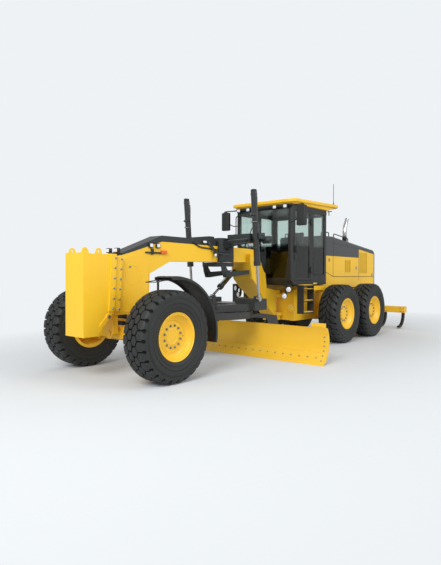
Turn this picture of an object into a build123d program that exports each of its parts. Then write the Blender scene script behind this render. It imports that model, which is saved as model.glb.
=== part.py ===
from build123d import *
from math import cos, radians, tan
import os

# Motor grader with an articulated frame, leaning front wheels, a circle-mounted blade,
# a front push block and a rear ripper.
# All lengths are millimetres. X points to the machine's left, Y to its rear, Z up.
# While a piece is drawn, Y is counted from the front axle. Front pieces are placed from there,
# those round the blade from CIRCLE_Y and the rear ones from PIVOT_Y.

# Places along the machine
CIRCLE_Y = 2150.0
CIRCLE_TO_PIVOT = 2100.0
PIVOT_TO_TANDEM = 1910.0
TANDEM_PITCH = 1540.0
PUSH_FACE_Y = -860.0
PIVOT_Y = CIRCLE_Y + CIRCLE_TO_PIVOT
REAR_AXLE_Y = PIVOT_Y + PIVOT_TO_TANDEM

# Running clearances
PIN_GAP = 0.5
SEAT_GAP = 0.3
PANEL_GAP = 6.0

# Wheels: each tyre has staggered traction lugs, LUG_COUNT on either side
TYRE_RADIUS = 665.0
TYRE_HALF_WIDTH = 222.5
SIDEWALL_RADIUS = 480.0
SHOULDER_DEPTH = 70.0
LUG_COUNT = 14
LUG_DEPTH = 32.0
LUG_CROSS = 30.0
CAVITY_RADIUS = 590.0
CAVITY_HALF = 165.0
BEAD_RADIUS = 317.0
FLANGE_RADIUS = 350.0
FLANGE_HALF_WIDTH = 200.0
FLANGE_THICK = 13.0
RIM_THICK = 14.0
DISC_RADIUS = 240.0
HUB_RADIUS = 118.0
SPINDLE_RADIUS = 60.0
SPINDLE_END = 76.0
WHEEL_X = 1027.5

# Front axle, leaning and steering pivots
LEAN_X = 750.0
LEAN_Z = 620.0
LEAN_PIN_RADIUS = 24.0
LEAN_EYE_HALF = 36.0
LEAN_BAR_RISE = 200.0
LEAN_BAR_Y = 90.0
KINGPIN_X = 850.0
KINGPIN_RADIUS = 26.0
KNUCKLE_BACK_X = 948.0
STEER_ARM = 172.0
ARM_BOTTOM = 519.0
ARM_TOP = 546.0
TIE_Z = 485.0
TIE_TUBE_RADIUS = 14.0
TIE_BALL_RADIUS = 20.0
TIE_OPEN_BALL = 10.0
TIE_OPEN_SEAT = 25.0
TIE_SOCKET_RADIUS = 28.0
TIE_OPEN_SOCKET_RADIUS = 31.0
AXLE_PIN_Z = 640.0
AXLE_PIN_RADIUS = 50.0
AXLE_BOSS_HALF = 172.0
FENDER_RISE = 185.0
FENDER_INNER_X = 840.0
FENDER_OUTER_X = 1250.0
FENDER_POST_X = 765.0

# Front frame
BEAM_HALF = 150.0
BEAM_BOTTOM = 1770.0
HEAD_BOTTOM = 930.0
CHEEK_THICK = 10.0
COVER_TOP = 2190.0
NECK_HALF = 250.0
NECK_REAR_HALF = 165.0
PUSH_HALF = 226.0
PUSH_WALL = 20.0
LIFT_EYE_X = 160.0
LIFT_EYE_Z = 1882.0
LIFT_EYE_Y = (-790.0, -560.0)

# Frame pivot
LUG_RADIUS = 130.0
FRAME_PIN_RADIUS = 50.0
LUG_THICK = 80.0
LUG_UPPER_Z = 1130.0
LUG_LOWER_Z = 540.0
LUG_AIR = 8.0

# Drawbar, circle and blade
BALL_Y = 560.0
BALL_Z = 760.0
BALL_RADIUS = 60.0
BAR_END_X = 800.0
BAR_DEPTH = 130.0
BAR_OVER_CIRCLE = 8.0
CIRCLE_RADIUS = 765.0
CIRCLE_INNER = 640.0
CIRCLE_Z = 740.0
CIRCLE_HEIGHT = 120.0
TEETH = 60
TOOTH_DEPTH = 20.0
ARM_X = 690.0
ARM_THICK = 30.0
BLADE_HALF = 2134.0
BLADE_HEIGHT = 630.0
BLADE_THICK = 22.0
BLADE_CURVE = 458.0
BLADE_AXIS_Y = CIRCLE_Y + 142
BLADE_AXIS_Z = 378.0
EDGE_THICK = 18.0
EDGE_HEIGHT = 195.0
RAIL_UPPER_Z = BLADE_HEIGHT - 110
RAIL_LOWER_Z = 160.0
RAIL_HEIGHT = 60.0
RAIL_BACK_Y = CIRCLE_Y + 655
TILT_Y = CIRCLE_Y + 1000
TILT_Z = 560.0
TILT_PIN_RADIUS = 30.0
BAR_BOTTOM = CIRCLE_Z + CIRCLE_HEIGHT + BAR_OVER_CIRCLE

# Lift and shift cylinders
LIFT_X = 850.0
ROD_EYE_Y = CIRCLE_Y + 320
ROD_EYE_Z = 1100.0
ROD_EYE_HALF = 30.0
TRUNNION_Y = CIRCLE_Y + 220
TRUNNION_Z = 2250.0
TRUNNION_RADIUS = 20.0
LIFT_FOOT_Z = 1710.0
LIFT_TOP_Z = 3060.0
LIFT_BARREL_RADIUS = 58.0
LIFT_BORE_RADIUS = 40.0
LIFT_ROD_RADIUS = 27.0
SHIFT_ANCHOR = (-150.0, PIVOT_Y - 1300, 1600.0)
SHIFT_EYE = (300.0, CIRCLE_Y - 370, 1150.0)
SHIFT_PIN_RADIUS = 28.0
LINK_INNER_X = 215.0
LINK_OUTER_X = 241.0

# Rear frame and hood
RAIL_TOP = 1200.0
RAIL_FRONT_Y = PIVOT_Y + 170
RAIL_REAR_Y = PIVOT_Y + 4200
RAIL_INNER_X = 300.0
RAIL_OUTER_X = 400.0
HOOD_HALF = 600.0
HOOD_FRONT = PIVOT_Y + 1150
HOOD_CREST_Y = PIVOT_Y + 1650
HOOD_TAIL_Y = PIVOT_Y + 4050
HOOD_REAR = PIVOT_Y + 4150
HOOD_BOTTOM = 1300.0
HOOD_FRONT_TOP = 2470.0
HOOD_CREST_TOP = 2480.0
HOOD_TAIL_TOP = 2250.0
HOOD_REAR_TOP = 2130.0
HOOD_WALL = 25.0
HOOD_WAIST_Z = 1500.0
HOOD_SHOULDER = 60.0
SEAM = 6.0
STACK_BASE_RADIUS = 64.0
STACK_Y = PIVOT_Y + 3500
STACK_SINK = 70.0  # the foot stands this far inside the hood, below its top at the rear
STACK_FOOT = HOOD_TAIL_TOP - STACK_SINK
VENTS = (
    # front, rear, bottom, top
    (PIVOT_Y + 2280, PIVOT_Y + 2620, 1590.0, 1940.0),
    (PIVOT_Y + 3150, PIVOT_Y + 3650, 1570.0, 2160.0),
)
REAR_VENT = (440.0, 1420.0, 2060.0)
RIB_PITCH = 42.0

# Cab
CAB_HALF = 730.0
CAB_FRONT = PIVOT_Y - 450
CAB_REAR = PIVOT_Y + 1070
CAB_FLOOR = 1330.0
CAB_TOP = 3020.0
CAB_WALL = 50.0
CAB_CORNER = 40.0
FLOOR_THICK = 70.0
DOOR_FRONT = CAB_FRONT + 80
DOOR_REAR = CAB_FRONT + 780
DOOR_BOTTOM = 1420.0
DOOR_TOP = 2930.0
DOOR_STILE = 55.0
DOOR_HINGE_Z = (1650.0, 2700.0)
HINGE_X = CAB_HALF + 16
HINGE_Y = DOOR_REAR + 3
HINGE_RADIUS = 13.0
SCREEN_HALF = 640.0
SCREEN_FOOT_HALF = 560.0
SCREEN_BOTTOM = 1480.0
SCREEN_KNEE = 1950.0
BACK_PANE = (620.0, 2150.0, 2880.0)
SIDE_PANE = (CAB_FRONT + 900, CAB_FRONT + 1400, 1560.0, 2900.0)
GLASS = 6.0
ROOF_HALF = 830.0
LADDER_FRONT = DOOR_FRONT + 40
LADDER_REAR = DOOR_FRONT + 480
TREAD_Z = (738.0, 982.0, 1226.0)

# Ripper
RIPPER_PIVOT_Y = PIVOT_Y + 4390
RIPPER_PIVOT_Z = 640.0
RIPPER_PIN_RADIUS = 30.0
RIPPER_BEAM_Y = RIPPER_PIVOT_Y + 810
RIPPER_BEAM_HALF = 90.0
RIPPER_BEAM_BOTTOM = 440.0
RIPPER_BEAM_TOP = 620.0
RIPPER_HALF = 1120.0
RIPPER_ARM_X = (-420.0, 420.0)
SHANK_X = (-1050.0, -525.0, 0.0, 525.0, 1050.0)
SHANK_HALF = 32.0
RIPPER_ANCHOR = (0.0, RIPPER_PIVOT_Y - 40, 1120.0)
RIPPER_EYE = (0.0, RIPPER_BEAM_Y - 90, 740.0)
RIPPER_EYE_PIN = 20.0

MIDDLE_Y = (PUSH_FACE_Y + RIPPER_BEAM_Y + RIPPER_BEAM_HALF) / 2
WHEELS = (
    # name, side, wheel centre behind the front axle
    ("front_left", 1, 0.0),
    ("front_right", -1, 0.0),
    ("fore_left", 1, REAR_AXLE_Y - TANDEM_PITCH / 2),
    ("fore_right", -1, REAR_AXLE_Y - TANDEM_PITCH / 2),
    ("aft_left", 1, REAR_AXLE_Y + TANDEM_PITCH / 2),
    ("aft_right", -1, REAR_AXLE_Y + TANDEM_PITCH / 2),
)


def block(x0, x1, y0, y1, z0, z1):
    """Rectangular solid between two opposite corners."""
    centre = ((x0 + x1) / 2, (y0 + y1) / 2, (z0 + z1) / 2)
    return Pos(*centre) * Box(abs(x1 - x0), abs(y1 - y0), abs(z1 - z0))


def side_face(lines, x0, x1):
    """Plate between two X planes, cut to closed side view lines drawn in (y, z)."""
    face = Plane.YZ.offset(x0) * make_face(lines)
    return extrude(face, amount=x1 - x0, dir=(1, 0, 0))


def side_plate(points, x0, x1):
    """Plate between two X planes, cut to a side view outline of (y, z) points."""
    return side_face(Polyline(*points, close=True), x0, x1)


def plan_plate(points, z0, z1):
    """Plate between two heights, cut to a plan outline of (x, y) points."""
    face = Pos(0, 0, z0) * make_face(Polyline(*points, close=True))
    return extrude(face, amount=z1 - z0, dir=(0, 0, 1))


def bar(start, end, radius):
    """Round bar between two points."""
    a = Vector(*start)
    b = Vector(*end)
    return Plane(origin=a, z_dir=b - a) * extrude(Circle(radius), amount=(b - a).length)


def pin_x(x0, x1, y, z, radius):
    """Round bar along X."""
    return bar((x0, y, z), (x1, y, z), radius)


def pin_y(x, y0, y1, z, radius):
    """Round bar along Y."""
    return bar((x, y0, z), (x, y1, z), radius)


def pin_z(x, y, z0, z1, radius):
    """Round bar along Z."""
    return bar((x, y, z0), (x, y, z1), radius)


def along(start, end, distance):
    """Point on the line from start to end, at a distance from start."""
    a = Vector(*start)
    return tuple(a + (Vector(*end) - a).normalized() * distance)


def tube_path(points, radius, bend):
    """Bent round tube that follows a path with rounded corners."""
    path = FilletPolyline(*points, radius=bend)
    return sweep(Plane(origin=path @ 0, z_dir=path % 0) * Circle(radius), path=path)


def both_sides(part):
    """The part together with its mirror image on the machine's right."""
    return part + mirror(part, about=Plane.YZ)


def turned(outline, start=0, arc=360):
    """Ring, or an arc of one from a start angle, about the X axis from (x, radius) points."""
    face = make_face(Polyline(*outline, close=True))
    return Rot(start, 0, 0) * revolve(face, axis=Axis.X, revolution_arc=arc)


def tyre():
    """Traction tyre about the X axis: flat-sided ring segments with a lug on alternate sides."""
    bead = FLANGE_HALF_WIDTH - FLANGE_THICK - SEAT_GAP
    wall = ((bead, BEAD_RADIUS + SEAT_GAP), (bead, FLANGE_RADIUS + 6), (TYRE_HALF_WIDTH, SIDEWALL_RADIUS),
            (TYRE_HALF_WIDTH - 12, TYRE_RADIUS - SHOULDER_DEPTH))
    lug = ((TYRE_HALF_WIDTH - 40, TYRE_RADIUS), (-LUG_CROSS, TYRE_RADIUS), (-LUG_CROSS, TYRE_RADIUS - LUG_DEPTH))
    outline = wall + lug + tuple((-x, r) for x, r in wall[::-1])
    step = 180 / LUG_COUNT
    reach = TYRE_RADIUS * tan(radians(step / 2))
    wedge = side_plate(((0, 0), (reach, TYRE_RADIUS), (-reach, TYRE_RADIUS)), -TYRE_HALF_WIDTH, TYRE_HALF_WIDTH)
    segments = []
    for i in range(2 * LUG_COUNT):
        side = 1 if i % 2 else -1
        section = Plane.XZ * make_face(Polyline(*[(side * x, r) for x, r in outline], close=True))
        segments.append(Rot(i * step, 0, 0) * (extrude(section, amount=reach, both=True) & wedge))
    cavity = Plane.YZ.offset(-CAVITY_HALF) * RegularPolygon(CAVITY_RADIUS, LUG_COUNT)
    ring = segments[0].fuse(*segments[1:])
    return ring - extrude(cavity, amount=2 * CAVITY_HALF, dir=(1, 0, 0))


def rim():
    """Deep wheel rim with its dish and hub; the outer side is towards +X."""
    w = FLANGE_HALF_WIDTH
    low = BEAD_RADIUS - RIM_THICK
    barrel = turned(((-w, low), (-w, FLANGE_RADIUS), (-w + FLANGE_THICK, FLANGE_RADIUS),
                     (-w + FLANGE_THICK, BEAD_RADIUS), (w - FLANGE_THICK, BEAD_RADIUS),
                     (w - FLANGE_THICK, FLANGE_RADIUS), (w, FLANGE_RADIUS), (w, low)))
    bore = SPINDLE_RADIUS + PIN_GAP
    cap = SPINDLE_END + 4
    dish = turned(((-60, bore), (cap, bore), (cap, 0), (cap + 15, 0), (cap + 15, 70), (cap + 2, 92),
                   (52, HUB_RADIUS), (52, DISC_RADIUS), (20, low + 4), (-10, low + 4), (26, DISC_RADIUS - 6),
                   (26, HUB_RADIUS), (-60, HUB_RADIUS)))
    return barrel + dish


def placed_wheel(part, side, y):
    """Wheel part moved to its axle end."""
    moved = Pos(WHEEL_X, y, TYRE_RADIUS) * part
    return moved if side > 0 else mirror(moved, about=Plane.YZ)


def front_axle():
    """Oscillating axle beam with its centre pin and an eye for each leaning pivot."""
    end = LEAN_X - 60
    beam = plan_plate(((-end, -60), (-200, -90), (200, -90), (end, -60), (end, 60), (200, 90), (-200, 90),
                       (-end, 60)), 550, 730)
    taper = both_sides(side_plate(((-200, 660), (200, 660), (200, 760), (-200, 760)), 500, 760))
    beam = beam - taper
    half = LEAN_EYE_HALF
    for side in (1, -1):
        eye = pin_y(side * LEAN_X, -half, half, LEAN_Z, 50)
        arm = block(side * (LEAN_X - 190), side * LEAN_X, -half, half, LEAN_Z - 45, LEAN_Z + 40)
        hole = pin_y(side * LEAN_X, -half - 4, half + 4, LEAN_Z, LEAN_PIN_RADIUS + PIN_GAP)
        beam = beam + eye + arm - hole
    boss = pin_y(0, -96, 96, AXLE_PIN_Z, 105) + pin_y(0, -AXLE_BOSS_HALF, AXLE_BOSS_HALF, AXLE_PIN_Z, 62)
    return beam + boss + pin_y(0, -275, 275, AXLE_PIN_Z, AXLE_PIN_RADIUS)


def lean_knuckle():
    """Leaning carrier of the left front wheel: cheeks on the axle eye, kingpin boss, lean arm."""
    inner = LEAN_EYE_HALF + 6
    outer = inner + 23
    part = pin_y(LEAN_X, -outer - 5, outer + 5, LEAN_Z, LEAN_PIN_RADIUS)
    for y0, y1 in ((-outer, -inner), (inner, outer)):
        part = part + pin_y(LEAN_X, y0, y1, LEAN_Z, 50) + block(LEAN_X, KINGPIN_X, y0, y1, LEAN_Z - 50, LEAN_Z + 50)
    part = part + block(LEAN_X + 60, KINGPIN_X, -50, 50, 562, 768) + pin_z(KINGPIN_X, 0, 562, 768, 44)
    arm_top = LEAN_Z + LEAN_BAR_RISE
    arm = block(LEAN_X - 22, LEAN_X + 22, inner, outer, LEAN_Z, arm_top)
    arm = arm + pin_y(LEAN_X, inner, outer, arm_top, 26)
    arm = arm + pin_y(LEAN_X, outer - 5, LEAN_BAR_Y + 24, arm_top, 14)
    return part + arm + pin_z(KINGPIN_X, 0, 506, 824, KINGPIN_RADIUS)


def lean_bar():
    """Cross bar that makes both front wheels lean together."""
    z = LEAN_Z + LEAN_BAR_RISE
    rod = pin_x(-LEAN_X, LEAN_X, LEAN_BAR_Y, z, 20)
    for x in (-LEAN_X, LEAN_X):
        rod = rod + pin_y(x, LEAN_BAR_Y - 18, LEAN_BAR_Y + 18, z, 28)
    for x in (-LEAN_X, LEAN_X):
        rod = rod - pin_y(x, LEAN_BAR_Y - 40, LEAN_BAR_Y + 40, z, 14 + PIN_GAP)
    return rod


def steer_knuckle(side):
    """Steered wheel carrier: kingpin eyes, spindle, steering arm and fender post."""
    knuckle = block(KNUCKLE_BACK_X - 33, KNUCKLE_BACK_X, -65, 65, 510, 820)
    for z0, z1 in ((510, 555), (775, 820)):
        knuckle = knuckle + pin_z(KINGPIN_X, 0, z0, z1, 52) + block(KINGPIN_X, KNUCKLE_BACK_X, -52, 52, z0, z1)
    knuckle = knuckle + pin_x(KNUCKLE_BACK_X - 18, WHEEL_X + SPINDLE_END, 0, TYRE_RADIUS, SPINDLE_RADIUS)
    knuckle = knuckle + block(KINGPIN_X - 28, KINGPIN_X + 28, 0, STEER_ARM, ARM_BOTTOM, ARM_TOP)
    knuckle = knuckle + pin_z(KINGPIN_X, STEER_ARM, ARM_BOTTOM, ARM_TOP, 34)
    knuckle = knuckle - pin_z(KINGPIN_X, 0, 500, 830, KINGPIN_RADIUS + PIN_GAP)
    post = tube_path(((KINGPIN_X, 50, 800), (KINGPIN_X, 50, 885), (FENDER_POST_X, 50, 910),
                      (FENDER_POST_X, 50, 1440)), 17, 18)
    knuckle = knuckle + post
    if side > 0:
        return knuckle - pin_z(KINGPIN_X, STEER_ARM, 500, 560, 12 + PIN_GAP)
    ball = Pos(KINGPIN_X, STEER_ARM, TIE_Z) * Sphere(TIE_OPEN_BALL)
    stud = pin_z(KINGPIN_X, STEER_ARM, TIE_Z, ARM_BOTTOM + 10, 7)
    return mirror(knuckle + ball + stud, about=Plane.YZ)


def tie_rod_end():
    """Ball stud below the left steering arm."""
    ball = Pos(KINGPIN_X, STEER_ARM, TIE_Z) * Sphere(TIE_BALL_RADIUS)
    return ball + pin_z(KINGPIN_X, STEER_ARM, TIE_Z, ARM_TOP + 4, 12)


def tie_rod():
    """Cross tube with a ball socket at each end."""
    tube = pin_x(-KINGPIN_X, KINGPIN_X, STEER_ARM, TIE_Z, TIE_TUBE_RADIUS)
    ends = (
        # socket centre, outer radius, seat radius, mouth radius, depth below the centre
        (-KINGPIN_X, TIE_OPEN_SOCKET_RADIUS, TIE_OPEN_SEAT, 26, 28),
        (KINGPIN_X, TIE_SOCKET_RADIUS, TIE_BALL_RADIUS + PIN_GAP, 18, 25),
    )
    for x, radius, seat, mouth, depth in ends:
        tube = tube + pin_z(x, STEER_ARM, TIE_Z - depth, TIE_Z + 10, radius)
        tube = tube - Pos(x, STEER_ARM, TIE_Z) * Sphere(seat)
        tube = tube - pin_z(x, STEER_ARM, TIE_Z, TIE_Z + 40, mouth)
    return tube


def fender():
    """Ribbed guard over the rear half of the left front wheel, with its carrier bars."""
    radius = TYRE_RADIUS + FENDER_RISE
    inner, outer = FENDER_INNER_X, FENDER_OUTER_X
    section = [(inner, radius - 8), (outer - 8, radius - 8), (outer - 8, radius - 45), (outer, radius - 45),
               (outer, radius)]
    for x in (inner + 330, inner + 195, inner + 60):
        section += [(x + 24, radius), (x + 24, radius + 10), (x, radius + 10), (x, radius)]
    guard = Pos(0, 0, TYRE_RADIUS) * turned(section + [(inner, radius)], -11, 126)
    post_top = 1440 + SEAT_GAP
    z = 1470
    guard = guard + pin_x(FENDER_POST_X - 17, 1200, 50, z, 16) + pin_z(FENDER_POST_X, 50, post_top, z, 20)
    for x in (900, 1100):
        guard = guard + pin_z(x, 50, z - 5, TYRE_RADIUS + radius - 4, 16)
    return guard


def front_frame():
    """Arched one-piece front frame: head, beam, neck and the two pivot lugs."""
    p = PIVOT_Y
    outline = ((-300, 1805), (-130, 1840), (100, 1905), (700, 2088), (p - 1250, 2072), (p - 950, 2060),
               (p - 900, 1890), (p - 730, 1690), (p - 1250, 1795), (890, BEAM_BOTTOM), (430, 1560),
               (415, 1180), (330, HEAD_BOTTOM), (-250, HEAD_BOTTOM), (-345, 1040))
    frame = side_plate(outline, -BEAM_HALF, BEAM_HALF)
    neck = side_plate(((p - 1250, 1800), (p - 1160, 1460), (p - 650, 1000), (p - 260, 650), (p - 195, LUG_LOWER_Z),
                       (p - 195, LUG_UPPER_Z + LUG_THICK), (p - 540, 1260), (p - 590, 1570), (p - 730, 1690),
                       (p - 900, 1890), (p - 1250, 1960)), -NECK_HALF, NECK_HALF)
    flank = plan_plate(((NECK_HALF + 10, p - 950), (NECK_HALF, p - 950), (NECK_REAR_HALF, p - 650),
                        (NECK_REAR_HALF, p - 170), (NECK_HALF + 10, p - 170)), 500, 1900)
    frame = frame + (neck - both_sides(flank))
    frame = frame + side_plate(((-300, 1800), (-165, 1815), (-225, 1000), (-345, 1000)), -PUSH_HALF + 6, PUSH_HALF - 6)
    cheek = side_plate(((-200, 1010), (-150, 1790), (90, 1850), (400, 1700), (385, 1200), (300, 960), (-180, 960)),
                       BEAM_HALF, BEAM_HALF + CHEEK_THICK)
    frame = frame + both_sides(cheek)
    for z in (LUG_LOWER_Z, LUG_UPPER_Z):
        tongue = block(-LUG_RADIUS, LUG_RADIUS, p - 250, p, z, z + LUG_THICK)
        frame = frame + tongue + pin_z(0, p, z, z + LUG_THICK, LUG_RADIUS)
    frame = frame - pin_z(0, p, 400, 1400, FRAME_PIN_RADIUS + PIN_GAP)
    inner = AXLE_BOSS_HALF + 8
    for y0, y1 in ((-inner - 80, -inner), (inner, inner + 80)):
        lug = block(-115, 115, y0, y1, AXLE_PIN_Z, HEAD_BOTTOM + 40)
        frame = frame + lug + pin_y(0, y0, y1, AXLE_PIN_Z, 80)
    frame = frame - pin_y(0, -300, 300, AXLE_PIN_Z, AXLE_PIN_RADIUS + SEAT_GAP)
    ball_arm = ((330, 960), (400, 1150), (470, 900), (470, 700), (300, 700), (255, 820))
    frame = frame + side_plate(ball_arm, -70, 70) + pin_y(0, 440, BALL_Y, BALL_Z, 30)
    return frame + Pos(0, BALL_Y, BALL_Z) * Sphere(BALL_RADIUS)


def beam_cover():
    """Dark cover along the top of the front frame."""
    lift = SEAT_GAP
    rear = CIRCLE_Y - 90
    outline = ((-130, 1842 + lift), (-130, 1872), (700, COVER_TOP), (rear, COVER_TOP),
               (rear, 2079 + lift), (700, 2089 + lift), (100, 1907 + lift))
    cover = side_plate(outline, -BEAM_HALF, BEAM_HALF)
    for y in (1000, 1400, 1800):
        cover = cover - block(-BEAM_HALF - 1, BEAM_HALF + 1, y, y + SEAM, COVER_TOP - 5, COVER_TOP + 1)
    return cover


def push_block():
    """Front push block: box of plates with two pairs of lifting lugs and a rear flange."""
    front = PUSH_FACE_Y
    outline = ((front, 650), (front, 1855), (-330, 1810), (-375, 1000), (-470, 830), (-600, 690), (-600, 650))
    core = ((front + PUSH_WALL, 660), (front + PUSH_WALL, 1835), (-300, 1790), (-400, 1000), (-470, 855), (-620, 690))
    room = PUSH_HALF - PUSH_WALL
    shell = side_plate(outline, -PUSH_HALF, PUSH_HALF) - side_plate(core, -room, room)
    shell = shell + block(-PUSH_HALF, PUSH_HALF, front + PUSH_WALL, -620, 650, 675)
    flange = side_plate(((-395, 1850), (-270, 1845), (-320, 1000), (-440, 1000)), -PUSH_HALF - 24, PUSH_HALF + 24)
    shell = shell + (flange - side_plate(((-420, 1825), (-280, 1825), (-320, 1020), (-460, 1020)), -room, room))
    gusset = side_plate(((-560, 750), (-440, 880), (-330, 1010), (-400, 1010), (-600, 800)), PUSH_HALF, PUSH_HALF + 12)
    shell = shell + both_sides(gusset + pin_x(PUSH_HALF, PUSH_HALF + 20, -440, 925, 42))
    for y in LIFT_EYE_Y:
        lug = side_plate(((y - 75, 1835), (y + 75, 1820), (y + 45, 1885), (y - 45, 1885)),
                         LIFT_EYE_X - 10, LIFT_EYE_X + 10)
        lug = lug + pin_x(LIFT_EYE_X - 10, LIFT_EYE_X + 10, y, LIFT_EYE_Z, 48)
        shell = shell + both_sides(lug)
        shell = shell - pin_x(-200, 200, y, LIFT_EYE_Z, 20)
    lean = (345 - 300) / (1800 - 1000)
    upper = -300 - SEAT_GAP + 100 * lean
    return shell - side_plate(((upper, 1900), (upper - 1000 * lean, 900), (0, 900), (0, 1900)), -260, 260)


def saddle():
    """Collar round the beam that carries both lift cylinders and the shift cylinder's link."""
    c = CIRCLE_Y
    inner = BEAM_HALF + SEAT_GAP
    collar = block(-235, 235, c - 40, c + 340, 1730, 2235) - block(-inner, inner, c - 150, c + 450, 1700, 2079)
    wedge = side_plate(((c - 150, 1700), (c + 450, 1700), (c + 450, 1789.5), (c - 150, 1781.5)), -240, 240)
    collar = (collar - wedge) + block(-235, 235, c - 40, c + 340, 1700, 1775)
    part = collar - both_sides(plan_plate(((236, c - 41), (190, c - 41), (236, c + 30)), 1800, 2240))
    for side in (1, -1):
        arm = side_plate(((TRUNNION_Y - 70, 2130), (TRUNNION_Y + 130, 2130), (TRUNNION_Y + 130, 2230),
                          (TRUNNION_Y + 70, 2300), (TRUNNION_Y - 70, 2300)),
                         235 if side > 0 else -760, 760 if side > 0 else -235)
        yoke = block(side * 740, side * 960, TRUNNION_Y + 85, TRUNNION_Y + 130, 2190, 2310)
        for x0, x1 in ((740, 765), (935, 960)):
            yoke = yoke + block(side * x0, side * x1, TRUNNION_Y - 40, TRUNNION_Y + 130, 2200, 2300)
        piece = arm + yoke
        part = part + (piece - pin_x(side * 700, side * 1000, TRUNNION_Y, TRUNNION_Z, TRUNNION_RADIUS + PIN_GAP))
    y = SHIFT_ANCHOR[1]
    link = side_plate(((c - 35, 1790), (c + 80, 1730), (c + 180, 1600), (y + 40, 1640), (y + 40, 1560),
                       (c + 150, 1490), (c + 50, 1490), (c, 1600)), LINK_INNER_X, LINK_OUTER_X)
    pivots = both_sides(pin_x(LINK_INNER_X - 20, LINK_OUTER_X + 21, c + 105, 1545, 40))
    return part + both_sides(link) + pivots + pin_x(-LINK_OUTER_X, LINK_OUTER_X, y, SHIFT_ANCHOR[2], SHIFT_PIN_RADIUS)


def on_lift(z):
    """Point on the left lift cylinder's axis at a height."""
    lean = (ROD_EYE_Y - TRUNNION_Y) / (TRUNNION_Z - ROD_EYE_Z)
    return (LIFT_X, TRUNNION_Y + lean * (TRUNNION_Z - z), z)


def lift_barrel():
    """Left lift cylinder barrel with its trunnions, gland and top cap."""
    body = bar(on_lift(LIFT_FOOT_Z), on_lift(LIFT_TOP_Z), LIFT_BARREL_RADIUS)
    body = body + bar(on_lift(LIFT_FOOT_Z), on_lift(LIFT_FOOT_Z + 90), LIFT_BARREL_RADIUS + 8)
    body = body + bar(on_lift(TRUNNION_Z - 50), on_lift(TRUNNION_Z + 50), LIFT_BARREL_RADIUS + 12)
    body = body + bar(on_lift(LIFT_TOP_Z - 60), on_lift(LIFT_TOP_Z - 45), LIFT_BARREL_RADIUS + 6)
    stubs = pin_x(LIFT_X - 108, LIFT_X + 108, TRUNNION_Y, TRUNNION_Z, TRUNNION_RADIUS)
    bore = bar(on_lift(LIFT_FOOT_Z - 20), on_lift(LIFT_TOP_Z - 40), LIFT_BORE_RADIUS)
    guide = bar(on_lift(LIFT_FOOT_Z), on_lift(LIFT_FOOT_Z + 60), LIFT_BORE_RADIUS + 2)
    guide = guide - bar(on_lift(LIFT_FOOT_Z - 20), on_lift(LIFT_FOOT_Z + 80), LIFT_ROD_RADIUS + PIN_GAP)
    return (body + stubs - bore) + guide


def lift_rod():
    """Left lift cylinder's chromed rod with its piston and lower eye."""
    rod = bar(on_lift(ROD_EYE_Z), on_lift(2520), LIFT_ROD_RADIUS)
    rod = rod + bar(on_lift(2500), on_lift(2560), LIFT_BORE_RADIUS - PIN_GAP)
    rod = rod + pin_x(LIFT_X - ROD_EYE_HALF, LIFT_X + ROD_EYE_HALF, ROD_EYE_Y, ROD_EYE_Z, 46)
    return rod + pin_x(LIFT_X + 20, LIFT_X + ROD_EYE_HALF + 12, ROD_EYE_Y, ROD_EYE_Z, 30)


def drawbar():
    """A-shaped drawbar with its ball socket, rear cross beam and circle drive."""
    c = CIRCLE_Y
    low = BAR_BOTTOM
    frame = plan_plate(((-95, 600), (95, 600), (690, c + 270), (690, c + 630), (-690, c + 630), (-690, c + 270)),
                       low, low + BAR_DEPTH)
    window = plan_plate(((-70, c - 1150), (70, c - 1150), (420, c - 150), (420, c + 180), (-420, c + 180),
                         (-420, c - 150)), low - 10, low + BAR_DEPTH + 20)
    frame = frame - window
    beam = block(-BAR_END_X, BAR_END_X, c + 270, c + 650, low + 10, 1000)
    beam = beam + both_sides(block(330, BAR_END_X, c + 270, c + 650, 990, 1090))
    nose = block(-95, 95, BALL_Y - 20, BALL_Y + 340, BALL_Z - 95, BALL_Z + 95)
    nose = nose + block(-95, 95, BALL_Y + 80, BALL_Y + 340, BALL_Z, low + 100)
    nose = nose - Pos(0, BALL_Y, BALL_Z) * Sphere(BALL_RADIUS + PIN_GAP)
    nose = nose - block(-100, 100, BALL_Y - 60, BALL_Y + 12, 600, 900)
    drive_y = c - 670
    drive = block(-330, 330, drive_y - 110, drive_y + 120, low, low + BAR_DEPTH)
    drive = drive + pin_z(0, drive_y, low + 120, 1120, 120) + pin_z(0, drive_y, 1110, 1240, 75)
    for angle in (45, 135, 225, 315):
        shoe = block(560, CIRCLE_INNER - 4, -60, 60, CIRCLE_Z - 24, low + 10)
        shoe = shoe + block(590, CIRCLE_INNER + 40, -60, 60, CIRCLE_Z - 24, CIRCLE_Z - PIN_GAP)
        drive = drive + Pos(0, c, 0) * Rot(0, 0, angle) * shoe
    y = ROD_EYE_Y
    ear = side_plate(((y - 48, 1080), (y + 90, 1080), (y + 50, 1148), (y - 48, 1148)), BAR_END_X - 30, BAR_END_X)
    ear = ear + pin_x(BAR_END_X - 30, LIFT_X - ROD_EYE_HALF - SEAT_GAP, y, ROD_EYE_Z, 42)
    x, y, z = SHIFT_EYE
    bracket = side_plate(((y - 60, low + 100), (y + 60, low + 100), (y + 30, z + 20), (y - 30, z + 20)), x + 45, x + 70)
    bracket = bracket + pin_x(x + 39, x + 72, y, z, 30)
    foot = block(x - 55, x + 180, y - 80, y + 80, low + 60, low + BAR_DEPTH)
    return frame + beam + nose + drive + both_sides(ear) + bracket + foot


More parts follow.
